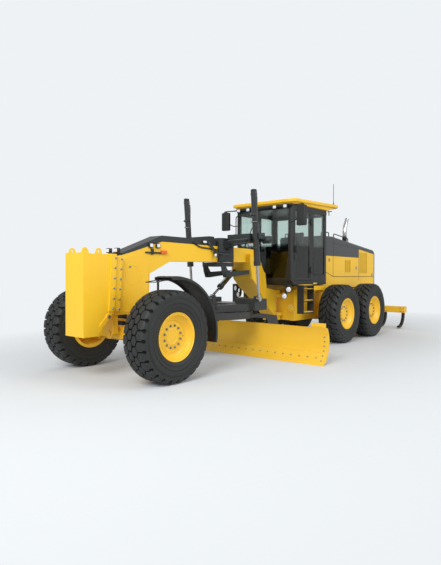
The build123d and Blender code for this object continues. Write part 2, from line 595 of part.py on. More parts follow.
def circle():
    """Turning ring with teeth round its inner face and the two drop arms that hold the blade."""
    c = CIRCLE_Y
    ring = pin_z(0, c, CIRCLE_Z, CIRCLE_Z + CIRCLE_HEIGHT, CIRCLE_RADIUS)
    ring = ring - pin_z(0, c, CIRCLE_Z - 10, CIRCLE_Z + CIRCLE_HEIGHT + 10, CIRCLE_INNER)
    root = CIRCLE_INNER + TOOTH_DEPTH
    space = plan_plate(((CIRCLE_INNER - 10, -20), (root, -11), (root, 11), (CIRCLE_INNER - 10, 20)),
                       CIRCLE_Z - 1, CIRCLE_Z + CIRCLE_HEIGHT / 2)
    ring = ring - [Pos(0, c, 0) * Rot(0, 0, i * 360 / TEETH) * space for i in range(TEETH)]
    arm = side_plate(((c + 270, CIRCLE_Z), (c + 270, CIRCLE_Z + 60), (c + 650, CIRCLE_Z + 60),
                      (TILT_Y + 160, CIRCLE_Z - 8), (TILT_Y + 240, 520), (TILT_Y + 180, 480), (TILT_Y - 70, 480),
                      (TILT_Y - 190, 690), (c + 450, CIRCLE_Z)), ARM_X - ARM_THICK, ARM_X)
    arm = arm - pin_x(ARM_X - 90, ARM_X + 70, TILT_Y, TILT_Z, TILT_PIN_RADIUS + PIN_GAP)
    return ring + both_sides(arm) + block(-ARM_X, ARM_X, TILT_Y - 210, TILT_Y - 140, 700, 780)


def blade_sheet(front, back, z0, z1, x0, x1):
    """Slice of a cylindrical sheet between two radii and two heights; it bulges to the rear."""
    sheet = pin_x(x0, x1, BLADE_AXIS_Y, BLADE_AXIS_Z, back)
    sheet = sheet - pin_x(x0 - 1, x1 + 1, BLADE_AXIS_Y, BLADE_AXIS_Z, front)
    return sheet & block(x0, x1, BLADE_AXIS_Y, BLADE_AXIS_Y + back, z0, z1)


def moldboard():
    """Curved blade with stiffening rails for side shift on its back."""
    plate = blade_sheet(BLADE_CURVE, BLADE_CURVE + BLADE_THICK, 30, BLADE_HEIGHT, -BLADE_HALF, BLADE_HALF)
    rail_half = BLADE_HALF - 634
    rails = None
    for z in (RAIL_UPPER_Z, RAIL_LOWER_Z):
        rail = block(-rail_half, rail_half, RAIL_BACK_Y - 105, RAIL_BACK_Y, z, z + RAIL_HEIGHT)
        rails = rail if rails is None else rails + rail
    top_y = BLADE_AXIS_Y + 370
    cap = block(BLADE_HALF - 304, BLADE_HALF - 54, top_y, top_y + 80, BLADE_HEIGHT - 20, BLADE_HEIGHT + 75)
    for i in range(4):
        cap = cap - pin_y(BLADE_HALF - 275 + 64 * i, top_y - 10, top_y + 100, BLADE_HEIGHT + 82, 17)
    hollow = pin_x(-BLADE_HALF - 1, BLADE_HALF + 1, BLADE_AXIS_Y, BLADE_AXIS_Z, BLADE_CURVE)
    return plate + (rails - hollow) + (cap - hollow)


def cutting_edge():
    """Bolted wear edge along the blade's foot, with an end bit at each side."""
    back = BLADE_CURVE - SEAT_GAP
    edge = blade_sheet(back - EDGE_THICK, back, 0, EDGE_HEIGHT, -BLADE_HALF, BLADE_HALF)
    bit = blade_sheet(back - EDGE_THICK, back, EDGE_HEIGHT - 5, BLADE_HEIGHT - 110, BLADE_HALF - 150, BLADE_HALF)
    return edge + both_sides(bit)


def blade_carrier():
    """Tilting frame between the drop arms and the blade's rails."""
    t = TILT_Y
    back = RAIL_BACK_Y + 5
    side = side_plate(((back + 20, 240), (back + 20, RAIL_UPPER_Z + 80), (t - 50, 620), (t + 50, 600),
                       (t + 50, 510), (t - 50, 500), (t - 200, 240), (t - 250, 130), (back + 20, 130)), 560, 640)
    side = side + pin_x(560, 720, t, TILT_Z, TILT_PIN_RADIUS) + pin_x(600, 640, t, TILT_Z, 62)
    for z in (RAIL_UPPER_Z, RAIL_LOWER_Z):
        top = z + RAIL_HEIGHT
        side = side + block(500, 680, back, back + 40, z - 31, top + 31)
        side = side + block(500, 680, back - 28, back + 20, top + PIN_GAP, top + 31)
        side = side + block(500, 680, back - 20, back + 20, z - 31, z - PIN_GAP)
    return both_sides(side) + pin_x(-600, 600, t - 230, 300, 45)


def shift_barrel():
    """Barrel of the drawbar shift cylinder, pinned behind the saddle."""
    a = SHIFT_ANCHOR
    body = bar(along(a, SHIFT_EYE, 20), along(a, SHIFT_EYE, 860), 52)
    body = body + bar(along(a, SHIFT_EYE, 780), along(a, SHIFT_EYE, 860), 60)
    body = body + pin_x(a[0] - 35, a[0] + 35, a[1], a[2], 56)
    body = body - bar(along(a, SHIFT_EYE, 60), along(a, SHIFT_EYE, 900), 36)
    guide = bar(along(a, SHIFT_EYE, 810), along(a, SHIFT_EYE, 860), 40)
    guide = guide - bar(along(a, SHIFT_EYE, 700), along(a, SHIFT_EYE, 900), 24)
    return body + guide - pin_x(a[0] - 80, a[0] + 80, a[1], a[2], SHIFT_PIN_RADIUS + PIN_GAP)


def shift_rod():
    """Rod of the drawbar shift cylinder with its eye at the drawbar."""
    x, y, z = SHIFT_EYE
    rod = bar(SHIFT_EYE, along(SHIFT_ANCHOR, SHIFT_EYE, 620), 23)
    rod = rod + bar(along(SHIFT_ANCHOR, SHIFT_EYE, 600), along(SHIFT_ANCHOR, SHIFT_EYE, 640), 35)
    return rod + pin_x(x - 25, x + 25, y, z, 38) + pin_x(x - 34, x + 29, y, z, 20)


def rear_frame():
    """Rear chassis: side rails, pivot tongues with the frame pin, axle housing, ripper mount."""
    p = PIVOT_Y
    front, rear = RAIL_FRONT_Y, RAIL_REAR_Y
    frame = both_sides(side_plate(((front, 520), (p + 1800, 510), (p + 2200, 640), (rear, 800), (rear, RAIL_TOP),
                                   (front, RAIL_TOP)), RAIL_INNER_X, RAIL_OUTER_X))
    for y0, y1 in ((front, front + 140), (rear - 950, rear - 850), (rear - 100, rear)):
        frame = frame + block(-RAIL_OUTER_X, RAIL_OUTER_X, y0, y1, 820, 1180)
    frame = frame + block(-RAIL_OUTER_X, RAIL_OUTER_X, front, front + 140, 530, 830)
    for z0 in (LUG_LOWER_Z + LUG_THICK + LUG_AIR, LUG_UPPER_Z - LUG_AIR - LUG_THICK):
        frame = frame + pin_z(0, p, z0, z0 + LUG_THICK, LUG_RADIUS)
        frame = frame + block(-LUG_RADIUS, LUG_RADIUS, p, front + 30, z0, z0 + LUG_THICK)
    frame = frame + pin_z(0, p, LUG_LOWER_Z - 10, LUG_UPPER_Z + LUG_THICK + 10, FRAME_PIN_RADIUS)
    frame = frame + pin_x(-570 + SEAT_GAP, 570 - SEAT_GAP, REAR_AXLE_Y, TYRE_RADIUS, 165)
    frame = frame + pin_x(-220, 220, REAR_AXLE_Y, TYRE_RADIUS, 250)
    frame = frame + block(-720, 720, p + 250, CAB_REAR + 20, RAIL_TOP, RAIL_TOP + 100)
    for y in (p + 270, CAB_REAR - 120):
        frame = frame + both_sides(block(560, 640, y, y + 100, RAIL_TOP - 20, CAB_FLOOR - SEAT_GAP))
    base_front, base_rear = HOOD_FRONT + 20, HOOD_REAR - 20
    frame = frame + both_sides(block(RAIL_OUTER_X, 598, base_front, base_rear, RAIL_TOP + 30, HOOD_BOTTOM - SEAT_GAP))
    for y in (base_front, base_rear - 140):
        frame = frame + both_sides(block(RAIL_OUTER_X - 20, 575, y, y + 140, RAIL_TOP - 50, RAIL_TOP + 50))
    frame = frame + block(-560, 560, rear, rear + 70, 560, 1290)
    y, z = RIPPER_PIVOT_Y, RIPPER_PIVOT_Z
    for x in RIPPER_ARM_X:
        for dx in (-70, 45):
            ear = side_plate(((rear + 50, z - 80), (y, z - 80), (y, z + 80), (rear + 50, z + 100)), x + dx, x + dx + 25)
            frame = frame + ear + pin_x(x + dx, x + dx + 25, y, z, 80)
        frame = frame - pin_x(x - 100, x + 100, y, z, RIPPER_PIN_RADIUS + PIN_GAP)
    y, z = RIPPER_ANCHOR[1:]
    for x0, x1 in ((-80, -56), (56, 80)):
        frame = frame + side_plate(((rear + 50, z - 90), (y, z - 50), (y, z + 50), (rear + 50, z + 80)), x0, x1)
        frame = frame + pin_x(x0, x1, y, z, 50)
    return frame + pin_x(-80, 80, y, z, RIPPER_EYE_PIN)


def tandem_cases():
    """Chain cases that carry the rear wheels, one on each side."""
    y, z = REAR_AXLE_Y, TYRE_RADIUS
    half = TANDEM_PITCH / 2
    case = side_plate(((y - half, z - 190), (y, z - 240), (y + half, z - 190), (y + half, z + 190), (y, z + 240),
                       (y - half, z + 190)), 570, 765)
    for end in (y - half, y + half):
        case = case + pin_x(570, 765, end, z, 190) + pin_x(760, 940, end, z, 110)
        case = case + pin_x(930, WHEEL_X + SPINDLE_END, end, z, SPINDLE_RADIUS)
    return both_sides(case)


def hood_line(inset):
    """The hood's top line from front to rear, drawn in by an inset, as (y, z) points."""
    return ((HOOD_FRONT + inset, HOOD_FRONT_TOP - inset), (HOOD_CREST_Y, HOOD_CREST_TOP - inset),
            (HOOD_TAIL_Y - 0.4 * inset, HOOD_TAIL_TOP - inset), (HOOD_REAR - inset, HOOD_REAR_TOP - 0.4 * inset))


def hood_top(y):
    """Height of the hood's top line at a place along the machine."""
    line = hood_line(0)
    for (y0, z0), (y1, z1) in zip(line, line[1:]):
        if y0 <= y <= y1:
            return z0 + (z1 - z0) * (y - y0) / (y1 - y0)


def hood_body(inset, bottom, shoulder):
    """Closed form of the hood drawn in by an inset, with rounded shoulders along its top."""
    half = HOOD_HALF - inset
    outline = ((HOOD_FRONT + inset, bottom),) + hood_line(inset) + ((HOOD_REAR - inset, bottom),)
    body = side_plate(outline, -half, half)
    edges = body.edges().filter_by(lambda e: e.center().Z > HOOD_WAIST_Z + 400 and abs(e.center().X) > half - 1)
    long_edges = [e for e in edges if e.length > 4 * shoulder and e.center().Z > HOOD_TAIL_TOP - 10]
    return fillet(long_edges, shoulder)


def hood():
    """Engine hood shell with a sloping top, panel seams, vents and an open foot."""
    shell = hood_body(0, HOOD_BOTTOM, HOOD_SHOULDER) - hood_body(HOOD_WALL, HOOD_BOTTOM - 10, HOOD_SHOULDER - 20)
    skin = HOOD_HALF - 5
    seams = block(skin, HOOD_HALF + 1, HOOD_FRONT + 500, HOOD_REAR + 1, HOOD_WAIST_Z, HOOD_WAIST_Z + SEAM)
    for y, top in ((HOOD_FRONT + 500, 2420), (HOOD_FRONT + 1960, 2260)):
        seams = seams + block(skin, HOOD_HALF + 1, y, y + SEAM, HOOD_BOTTOM - 1, top)
    crease = side_plate(((HOOD_FRONT - 1, HOOD_WAIST_Z + 150), (HOOD_FRONT - 1, HOOD_WAIST_Z + 156),
                         (HOOD_FRONT + 500, HOOD_WAIST_Z + 6), (HOOD_FRONT + 500, HOOD_WAIST_Z)), skin, HOOD_HALF + 1)
    shell = shell - both_sides(seams + crease)
    for y0, y1, z0, z1 in VENTS:
        shell = shell - both_sides(block(HOOD_HALF - 100, HOOD_HALF + 100, y0, y1, z0, z1))
    half, z0, z1 = REAR_VENT
    shell = shell - block(-half, half, HOOD_REAR - 100, HOOD_REAR + 100, z0, z1)
    return shell - pin_z(0, STACK_Y, 2000, 2600, STACK_BASE_RADIUS + SEAT_GAP)


def grilles():
    """Ribbed grilles in the hood's sides and its rear face."""
    g = SEAT_GAP
    outer = HOOD_HALF - 2
    panels = None
    for y0, y1, z0, z1 in VENTS:
        panel = block(outer - 18, outer, y0 + g, y1 - g, z0 + g, z1 - g)
        panel = panel - block(outer - 14, outer + 1, y0 + 20, y1 - 20, z0 + 20, z1 - 20)
        count = int((y1 - y0 - 60) / RIB_PITCH)
        start = (y0 + y1 - (count - 1) * RIB_PITCH) / 2
        for i in range(count):
            y = start + i * RIB_PITCH
            panel = panel + block(outer - 15, outer - 1, y - 11, y + 11, z0 + 15, z1 - 15)
        panels = both_sides(panel) if panels is None else panels + both_sides(panel)
    half, z0, z1 = REAR_VENT
    outer = HOOD_REAR - 2
    rear = block(-half + g, half - g, outer - 20, outer, z0 + g, z1 - g)
    rear = rear - block(-half + 25, half - 25, outer - 14, outer + 1, z0 + 25, z1 - 25)
    count = int((z1 - z0 - 70) / RIB_PITCH)
    start = (z0 + z1 - (count - 1) * RIB_PITCH) / 2
    for i in range(count):
        z = start + i * RIB_PITCH
        rear = rear + block(-half + 20, half - 20, outer - 15, outer - 1, z - 11, z + 11)
    return panels + rear


def engine():
    """Engine as one heavy block and the cooling pack as a second, under the hood."""
    foot = RAIL_TOP + SEAT_GAP
    motor = block(-330, 330, HOOD_FRONT + 600, HOOD_FRONT + 1900, foot, 2000)
    return motor + block(-390, 390, HOOD_FRONT + 2300, HOOD_FRONT + 2600, foot, 2000)


def exhaust_stack():
    """Exhaust outlet that curves to the rear at its end."""
    y = STACK_Y
    pipe = tube_path(((0, y, STACK_FOOT), (0, y, 2900), (0, y + 110, 3140)), 50, 420)
    return pipe + pin_z(0, y, STACK_FOOT, 2620, STACK_BASE_RADIUS)


def screen_outline(gap):
    """Front screen's outline as (x, z) points, drawn in by a gap: it narrows below its knee."""
    half = SCREEN_HALF - gap
    foot = SCREEN_FOOT_HALF - gap
    bottom = SCREEN_BOTTOM + gap
    top = DOOR_TOP - gap
    return ((-foot, bottom), (foot, bottom), (half, SCREEN_KNEE), (half, top), (-half, top), (-half, SCREEN_KNEE))


def front_pane(gap, y0, y1):
    """Plate across the machine between two Y planes, cut to the front screen's outline."""
    face = Plane.XZ.offset(-y0) * make_face(Polyline(*screen_outline(gap), close=True))
    return extrude(face, amount=y1 - y0, dir=(0, 1, 0))


def cab_shell():
    """Hollow cab body with floor, pillars and window openings."""
    body = block(-CAB_HALF, CAB_HALF, CAB_FRONT, CAB_REAR, CAB_FLOOR, CAB_TOP)
    body = fillet(body.edges().filter_by(Axis.Z), CAB_CORNER)
    body = body - side_plate(((CAB_FRONT - 10, CAB_FLOOR - 10), (CAB_FRONT + 90, CAB_FLOOR - 10),
                              (CAB_FRONT - 10, CAB_FLOOR + 110)), -CAB_HALF - 10, CAB_HALF + 10)
    w = CAB_WALL
    body = body - block(-CAB_HALF + w, CAB_HALF - w, CAB_FRONT + w, CAB_REAR - w, CAB_FLOOR + FLOOR_THICK, CAB_TOP - 60)
    body = body - front_pane(0, CAB_FRONT - 20, CAB_FRONT + w + 20)
    half, z0, z1 = BACK_PANE
    body = body - block(-half, half, CAB_REAR - w - 20, CAB_REAR + 20, z0, z1)
    y0, y1, z0, z1 = SIDE_PANE
    side = block(CAB_HALF - w - 20, CAB_HALF + 20, DOOR_FRONT, DOOR_REAR, DOOR_BOTTOM, DOOR_TOP)
    side = side + block(CAB_HALF - w - 20, CAB_HALF + 20, y0, y1, z0, z1)
    body = body - both_sides(side)
    for z in DOOR_HINGE_Z:
        knuckles = pin_z(HINGE_X, HINGE_Y, z - 70, z + 70, 6)
        for z0, z1 in ((z - 70, z - 31), (z + 31, z + 70)):
            knuckles = knuckles + pin_z(HINGE_X, HINGE_Y, z0, z1, HINGE_RADIUS)
            knuckles = knuckles + block(CAB_HALF - 2, HINGE_X + 8, HINGE_Y, HINGE_Y + 30, z0, z1)
        body = body + both_sides(knuckles)
    return body


def cab_roof():
    """Overhanging roof with a crowned top and rounded corners."""
    foot = CAB_TOP + SEAT_GAP
    front, rear = CAB_FRONT - 120, CAB_REAR + 460
    outline = ((front, foot + 40), (front + 10, foot + 100), (front + 570, 3175), (rear - 480, 3200), (rear - 10, 3190),
               (rear, foot + 60), (rear - 80, foot), (front + 80, foot))
    roof = side_plate(outline, -ROOF_HALF, ROOF_HALF)
    corners = plan_plate(((-ROOF_HALF, front + 110), (-ROOF_HALF + 120, front - 1), (ROOF_HALF - 120, front - 1),
                          (ROOF_HALF, front + 110), (ROOF_HALF, rear - 80), (ROOF_HALF - 90, rear + 1),
                          (-ROOF_HALF + 90, rear + 1), (-ROOF_HALF, rear - 80)), foot - 10, 3300)
    roof = roof & corners
    edges = roof.edges().filter_by(lambda e: e.center().Z > 3090 and abs(e.center().X) > ROOF_HALF - 1)
    roof = fillet(edges, 24)
    return roof - block(-500, 500, front + 700, rear - 600, 3192, 3230)


def cab_glass():
    """Fixed panes of the cab."""
    g = SEAT_GAP
    panes = front_pane(g, CAB_FRONT + 12, CAB_FRONT + 12 + GLASS)
    half, z0, z1 = BACK_PANE
    panes = panes + block(-half + g, half - g, CAB_REAR - 18, CAB_REAR - 18 + GLASS, z0 + g, z1 - g)
    y0, y1, z0, z1 = SIDE_PANE
    return panes + both_sides(block(CAB_HALF - 18, CAB_HALF - 18 + GLASS, y0 + g, y1 - g, z0 + g, z1 - g))


def door():
    """Left cab door frame."""
    g = PANEL_GAP
    x1 = CAB_HALF
    s = DOOR_STILE
    leaf = block(x1 - 40, x1, DOOR_FRONT + g, DOOR_REAR - g, DOOR_BOTTOM + g, DOOR_TOP - g)
    leaf = leaf - block(x1 - 60, x1 + 20, DOOR_FRONT + s, DOOR_REAR - s, DOOR_BOTTOM + s + 5, DOOR_TOP - s)
    leaf = leaf + block(x1, x1 + 30, DOOR_FRONT + 18, DOOR_FRONT + 40, 2000, 2150)
    for z in DOOR_HINGE_Z:
        strap = block(x1 + 1, HINGE_X + 8, HINGE_Y - 40, HINGE_Y, z - 29, z + 29)
        strap = strap + block(x1 - 2, x1 + 2, HINGE_Y - 40, DOOR_REAR - g, z - 29, z + 29)
        strap = strap + pin_z(HINGE_X, HINGE_Y, z - 29, z + 29, HINGE_RADIUS)
        leaf = leaf + strap - pin_z(HINGE_X, HINGE_Y, z - 40, z + 40, 6 + PIN_GAP)
    return leaf


def door_glass():
    """Pane of the left cab door."""
    x1 = CAB_HALF - 12
    s = DOOR_STILE + SEAT_GAP
    return block(x1 - GLASS, x1, DOOR_FRONT + s, DOOR_REAR - s, DOOR_BOTTOM + s + 5, DOOR_TOP - s)


def seat():
    """Operator's seat cushion and backrest as one soft body."""
    y = CAB_FRONT + 760
    cushion = block(-260, 260, y, y + 500, 1820 + SEAT_GAP, 1960)
    back = side_plate(((y + 440, 1880), (y + 550, 1900), (y + 640, 2560), (y + 550, 2580)), -250, 250)
    return cushion + back


def console():
    """Seat pedestal, control pods, steering column and steering wheel."""
    y = CAB_FRONT + 820
    floor = CAB_FLOOR + FLOOR_THICK + SEAT_GAP
    part = block(-180, 180, y, y + 400, floor, 1820)
    part = part + both_sides(block(330, 440, y - 120, y + 280, 1950, 2080) + block(340, 420, y + 60, y + 160, 1420, 1960))
    part = part + block(-460, 460, y + 30, y + 180, floor, 1440) + block(-60, 60, y - 420, y + 60, floor, 1425)
    part = part + block(-90, 90, y - 560, y - 400, floor, 1440) + bar((0, y - 490, 1410), (0, y - 356, 2098), 45)
    tilt = Plane(origin=(0, y - 354, 2110), z_dir=(0, 130, 670))
    return part + tilt * Torus(190, 16) + tilt * Cylinder(40, 40) + tilt * Box(380, 36, 14)


def hood_rail(y0, y1, height):
    """Guard rail on the hood's left top edge, standing on the sloping top at both feet."""
    radius = 12
    x = 500
    feet = [max(hood_top(y - radius), hood_top(y + radius)) + SEAT_GAP for y in (y0, y1)]
    return tube_path(((x, y0, feet[0]), (x, y0, feet[0] + height), (x, y1, feet[1] + height), (x, y1, feet[1])),
                     radius, 40)


def ladders():
    """Access ladder below each door and the rails on the hood."""
    side = None
    for y in (LADDER_FRONT, LADDER_REAR - 25):
        board = block(790, 940, y, y + 25, TREAD_Z[0] - 8, CAB_FLOOR - 10)
        side = board if side is None else side + board
    for z in TREAD_Z:
        side = side + block(790, 940, LADDER_FRONT + 20, LADDER_REAR - 20, z, z + 26)
    side = side + block(650, 940, LADDER_FRONT, LADDER_REAR, 1300, CAB_FLOOR - SEAT_GAP)
    rails = hood_rail(HOOD_FRONT + 80, HOOD_FRONT + 450, 95) + hood_rail(HOOD_FRONT + 700, HOOD_FRONT + 1500, 100)
    return both_sides(side + rails)


def mirrors():
    """Rear-view mirrors on bent tube arms."""
    head = block(890, 1100, CAB_FRONT - 85, CAB_FRONT - 30, 2550, 2960)
    head = fillet(head.edges().filter_by(Axis.Y), 28)
    y = CAB_FRONT - 58
    arm = tube_path(((670, CAB_FRONT - SEAT_GAP, 2985), (670, y, 2985), (995, y, 2985), (995, y, 2950)), 11, 16)
    return both_sides(head + arm)


def roof_fittings():
    """Mirrors, with the aerial and warning lamp at the roof's rear left corner."""
    aerial = pin_z(700, CAB_REAR + 380, 3192, 3700, 6) + pin_z(700, CAB_REAR + 380, 3192, 3222, 16)
    lamp = pin_z(760, CAB_REAR + 80, 2930, 3015, 36) + pin_z(760, CAB_REAR + 80, 3005, CAB_TOP, 50)
    return mirrors() + aerial + lamp


def lamp_box(x0, x1, y0, y1, z0, z1):
    """Lamp housing with rounded edges round its face."""
    body = block(x0, x1, y0, y1, z0, z1)
    return fillet(body.edges().filter_by(Axis.Y), 10)


def lamps():
    """Work lamps under the roof's front edge."""
    row = None
    for x in (-610, -350, 350, 610):
        lamp = lamp_box(x - 42, x + 42, CAB_FRONT - 85, CAB_FRONT - 30, 2950, CAB_TOP)
        row = lamp if row is None else row + lamp
    return row


def front_lamps():
    """Lamps on the head and the beam."""
    post = side_plate(((-200, 1826), (-160, 1834.2), (-160, 1880), (-200, 1880)), 90, 110)
    head = lamp_box(55, 145, -215, -150, 1875, 1950) + post
    side = BEAM_HALF + SEAT_GAP
    pair = block(side, side + 40, 400, 480, 1985, 2050) + block(side, side + 40, 550, 630, 1985, 2050)
    return both_sides(pair) + both_sides(head)


def ripper_frame():
    """Ripper arms and transverse beam."""
    y, z = RIPPER_PIVOT_Y, RIPPER_PIVOT_Z
    b = RIPPER_BEAM_Y
    beam = block(-RIPPER_HALF, RIPPER_HALF, b - RIPPER_BEAM_HALF, b + RIPPER_BEAM_HALF, RIPPER_BEAM_BOTTOM,
                 RIPPER_BEAM_TOP)
    for x in RIPPER_ARM_X:
        arm = side_plate(((y - 20, z - 50), (y, z + 56), (y + 360, z + 80), (b - 50, RIPPER_BEAM_TOP),
                          (b - 50, RIPPER_BEAM_BOTTOM + 20), (y + 360, z - 120)), x - 35, x + 35)
        arm = arm + pin_x(x - 35, x + 35, y, z, 58)
        beam = beam + arm + pin_x(x - 72, x + 72, y, z, RIPPER_PIN_RADIUS)
    for x0, x1 in ((-70, -42), (42, 70)):
        beam = beam + side_plate(((b - 100, 600), (b - 30, 600), (b - 50, 780), (b - 130, 780)), x0, x1)
    return beam + both_sides(pin_x(60, 82, RIPPER_EYE[1], RIPPER_EYE[2], 28))


def ripper_shanks():
    """Curved ripper teeth below the beam, each ending in a forward point."""
    b = RIPPER_BEAM_Y
    top = RIPPER_BEAM_BOTTOM - SEAT_GAP
    lines = [Line((b - 50, top), (b + 50, top)), ThreePointArc((b + 50, top), (b - 35, 165), (b - 400, 30)),
             Line((b - 400, 30), (b - 390, 70)), ThreePointArc((b - 390, 70), (b - 125, 190), (b - 50, top))]
    row = None
    for x in SHANK_X:
        shank = side_face(lines, x - SHANK_HALF, x + SHANK_HALF)
        row = shank if row is None else row + shank
    return row


def ripper_barrel():
    """Ripper cylinder barrel."""
    a = RIPPER_ANCHOR
    body = bar(along(a, RIPPER_EYE, 10), along(a, RIPPER_EYE, 500), 50) + pin_x(-36, 36, a[1], a[2], 48)
    body = body - bar(along(a, RIPPER_EYE, 70), along(a, RIPPER_EYE, 600), 34)
    guide = bar(along(a, RIPPER_EYE, 450), along(a, RIPPER_EYE, 500), 36) - bar(a, along(a, RIPPER_EYE, 600), 24)
    return body + guide - pin_x(-60, 60, a[1], a[2], RIPPER_EYE_PIN + PIN_GAP)


def ripper_rod():
    """Ripper cylinder rod."""
    b = RIPPER_EYE
    rod = bar(b, along(b, RIPPER_ANCHOR, 540), 23)
    rod = rod + bar(along(b, RIPPER_ANCHOR, 520), along(b, RIPPER_ANCHOR, 560), 33)
    return rod + pin_x(-34, 34, b[1], b[2], 40) + pin_x(-42 + SEAT_GAP, 42 - SEAT_GAP, b[1], b[2], RIPPER_EYE_PIN)


def save(name, part):
    """Write one sub-part with the middle of the machine's length at Y = 0."""
    export_step(Pos(0, -MIDDLE_Y, 0) * part, "parts/" + name + ".step")


os.makedirs("parts", exist_ok=True)

tyre_solid = tyre()
rim_solid = rim()
for wheel_name, wheel_side, wheel_y in WHEELS:
    save("tyre_" + wheel_name, placed_wheel(tyre_solid, wheel_side, wheel_y))
    save("rim_" + wheel_name, placed_wheel(rim_solid, wheel_side, wheel_y))

PIECES = {
    "front_frame": front_frame,
    "beam_cover": beam_cover,
    "push_block": push_block,
    "front_lamps": front_lamps,
    "saddle": saddle,
    "front_axle": front_axle,
    "lean_bar": lean_bar,
    "tie_rod": tie_rod,
    "tie_rod_end": tie_rod_end,
    "drawbar": drawbar,
    "circle": circle,
    "blade_carrier": blade_carrier,
    "moldboard": moldboard,
    "cutting_edge": cutting_edge,
    "shift_barrel": shift_barrel,
    "shift_rod": shift_rod,
    "rear_frame": rear_frame,
    "tandem_cases": tandem_cases,
    "hood": hood,
    "grilles": grilles,
    "engine": engine,
    "exhaust_stack": exhaust_stack,
    "cab_shell": cab_shell,
    "cab_roof": cab_roof,
    "cab_glass": cab_glass,
    "seat": seat,
    "console": console,
    "ladders_and_rails": ladders,
    "mirrors_and_aerial": roof_fittings,
    "work_lamps": lamps,
    "ripper_frame": ripper_frame,
    "ripper_shanks": ripper_shanks,
    "ripper_barrel": ripper_barrel,
    "ripper_rod": ripper_rod,
}
for piece_name, build in PIECES.items():
    save(piece_name, build())

PAIRS = {
    "lean_knuckle": lean_knuckle,
    "fender": fender,
    "lift_barrel": lift_barrel,
    "lift_rod": lift_rod,
    "door": door,
    "door_glass": door_glass,
}
for pair_name, build in PAIRS.items():
    left = build()
    save(pair_name + "_left", left)
    save(pair_name + "_right", mirror(left, about=Plane.YZ))

save("steer_knuckle_left", steer_knuckle(1))
save("steer_knuckle_right", steer_knuckle(-1))
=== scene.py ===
import math

import bmesh
import bpy
import numpy as np
from mathutils import Matrix


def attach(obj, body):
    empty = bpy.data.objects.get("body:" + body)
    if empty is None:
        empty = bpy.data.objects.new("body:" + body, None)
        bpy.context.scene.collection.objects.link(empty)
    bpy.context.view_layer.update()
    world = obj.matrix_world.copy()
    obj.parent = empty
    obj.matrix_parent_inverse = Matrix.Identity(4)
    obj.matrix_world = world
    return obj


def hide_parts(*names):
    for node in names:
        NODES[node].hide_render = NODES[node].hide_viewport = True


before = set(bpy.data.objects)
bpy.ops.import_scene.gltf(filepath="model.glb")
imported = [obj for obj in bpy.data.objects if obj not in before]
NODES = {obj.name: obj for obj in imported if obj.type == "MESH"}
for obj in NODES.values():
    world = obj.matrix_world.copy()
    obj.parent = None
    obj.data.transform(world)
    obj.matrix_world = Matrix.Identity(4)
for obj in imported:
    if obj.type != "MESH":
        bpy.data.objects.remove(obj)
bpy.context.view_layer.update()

# Places shared with the solids, in metres. Shapes below count Y from the front axle, as the
# solids' source does, and piece() moves them to the row frame.
AXLE_Y = -4.340
WHEEL_X = 1.0275
TYRE_RADIUS = 0.665
CIRCLE_Y = 2.150
CAB_FRONT = 3.800
CAB_REAR = 5.320
WHEELS = (
    # name, side, axle line behind the front axle
    ("front_left", 1, 0.0),
    ("front_right", -1, 0.0),
    ("fore_left", 1, 5.390),
    ("fore_right", -1, 5.390),
    ("aft_left", 1, 6.930),
    ("aft_right", -1, 6.930),
)


def linear(hexcode):
    """sRGB hex to linear RGBA: each channel over 255, then the sRGB curve undone."""
    c = np.array([int(hexcode[i:i + 2], 16) for i in (1, 3, 5)]) / 255
    c = np.where(c <= 0.04045, c / 12.92, ((c + 0.055) / 1.055) ** 2.4)
    return (*c.tolist(), 1.0)


def add(tree, kind, settings=None, **links):
    """Adds one node. settings name its properties or input sockets; links feed input sockets."""
    node = tree.nodes.new(kind)
    for key, value in (settings or {}).items():
        if key in node.inputs:
            node.inputs[key].default_value = value
        else:
            setattr(node, key, value)
    for key, source in links.items():
        tree.links.new(source, node.inputs[key.replace("_", " ")])
    return node


def start_material(name):
    """Empty node material with its shader and the piece's Object coordinates."""
    mat = bpy.data.materials.new(name)
    mat.use_nodes = True
    tree = mat.node_tree
    tree.nodes.clear()
    out = add(tree, "ShaderNodeOutputMaterial")
    shader = add(tree, "ShaderNodeBsdfPrincipled")
    tree.links.new(shader.outputs["BSDF"], out.inputs["Surface"])
    coords = add(tree, "ShaderNodeTexCoord")
    return mat, tree, shader, coords.outputs["Object"]


def mixed(tree, factor, first, second):
    """Colour that runs from first to second with the factor."""
    mix = add(tree, "ShaderNodeMix", {"data_type": "RGBA"})
    for source, socket in ((factor, mix.inputs[0]), (first, mix.inputs[6]), (second, mix.inputs[7])):
        if isinstance(source, tuple):
            socket.default_value = source
        else:
            tree.links.new(source, socket)
    return mix.outputs[2]


def sum_up(tree, kind, first, second):
    """One Math node of a kind on two sources, each an output or a number."""
    node = add(tree, "ShaderNodeMath", {"operation": kind})
    for source, socket in ((first, node.inputs[0]), (second, node.inputs[1])):
        if isinstance(source, float):
            socket.default_value = source
        else:
            tree.links.new(source, socket)
    return node.outputs[0]


def noise(tree, place, scale, detail, roughness=0.5):
    """Noise value by the piece's coordinates."""
    return add(tree, "ShaderNodeTexNoise", {"Scale": scale, "Detail": detail, "Roughness": roughness},
               Vector=place).outputs["Fac"]


def tint(tree, shader, factor, first, second):
    """Base colour that runs between two sRGB colours with the factor."""
    tree.links.new(mixed(tree, factor, linear(first), linear(second)), shader.inputs["Base Color"])


def gloss(tree, shader, factor, low, high):
    """Roughness that runs from low to high with the factor."""
    span = add(tree, "ShaderNodeMapRange", {"To Min": low, "To Max": high}, Value=factor)
    tree.links.new(span.outputs["Result"], shader.inputs["Roughness"])


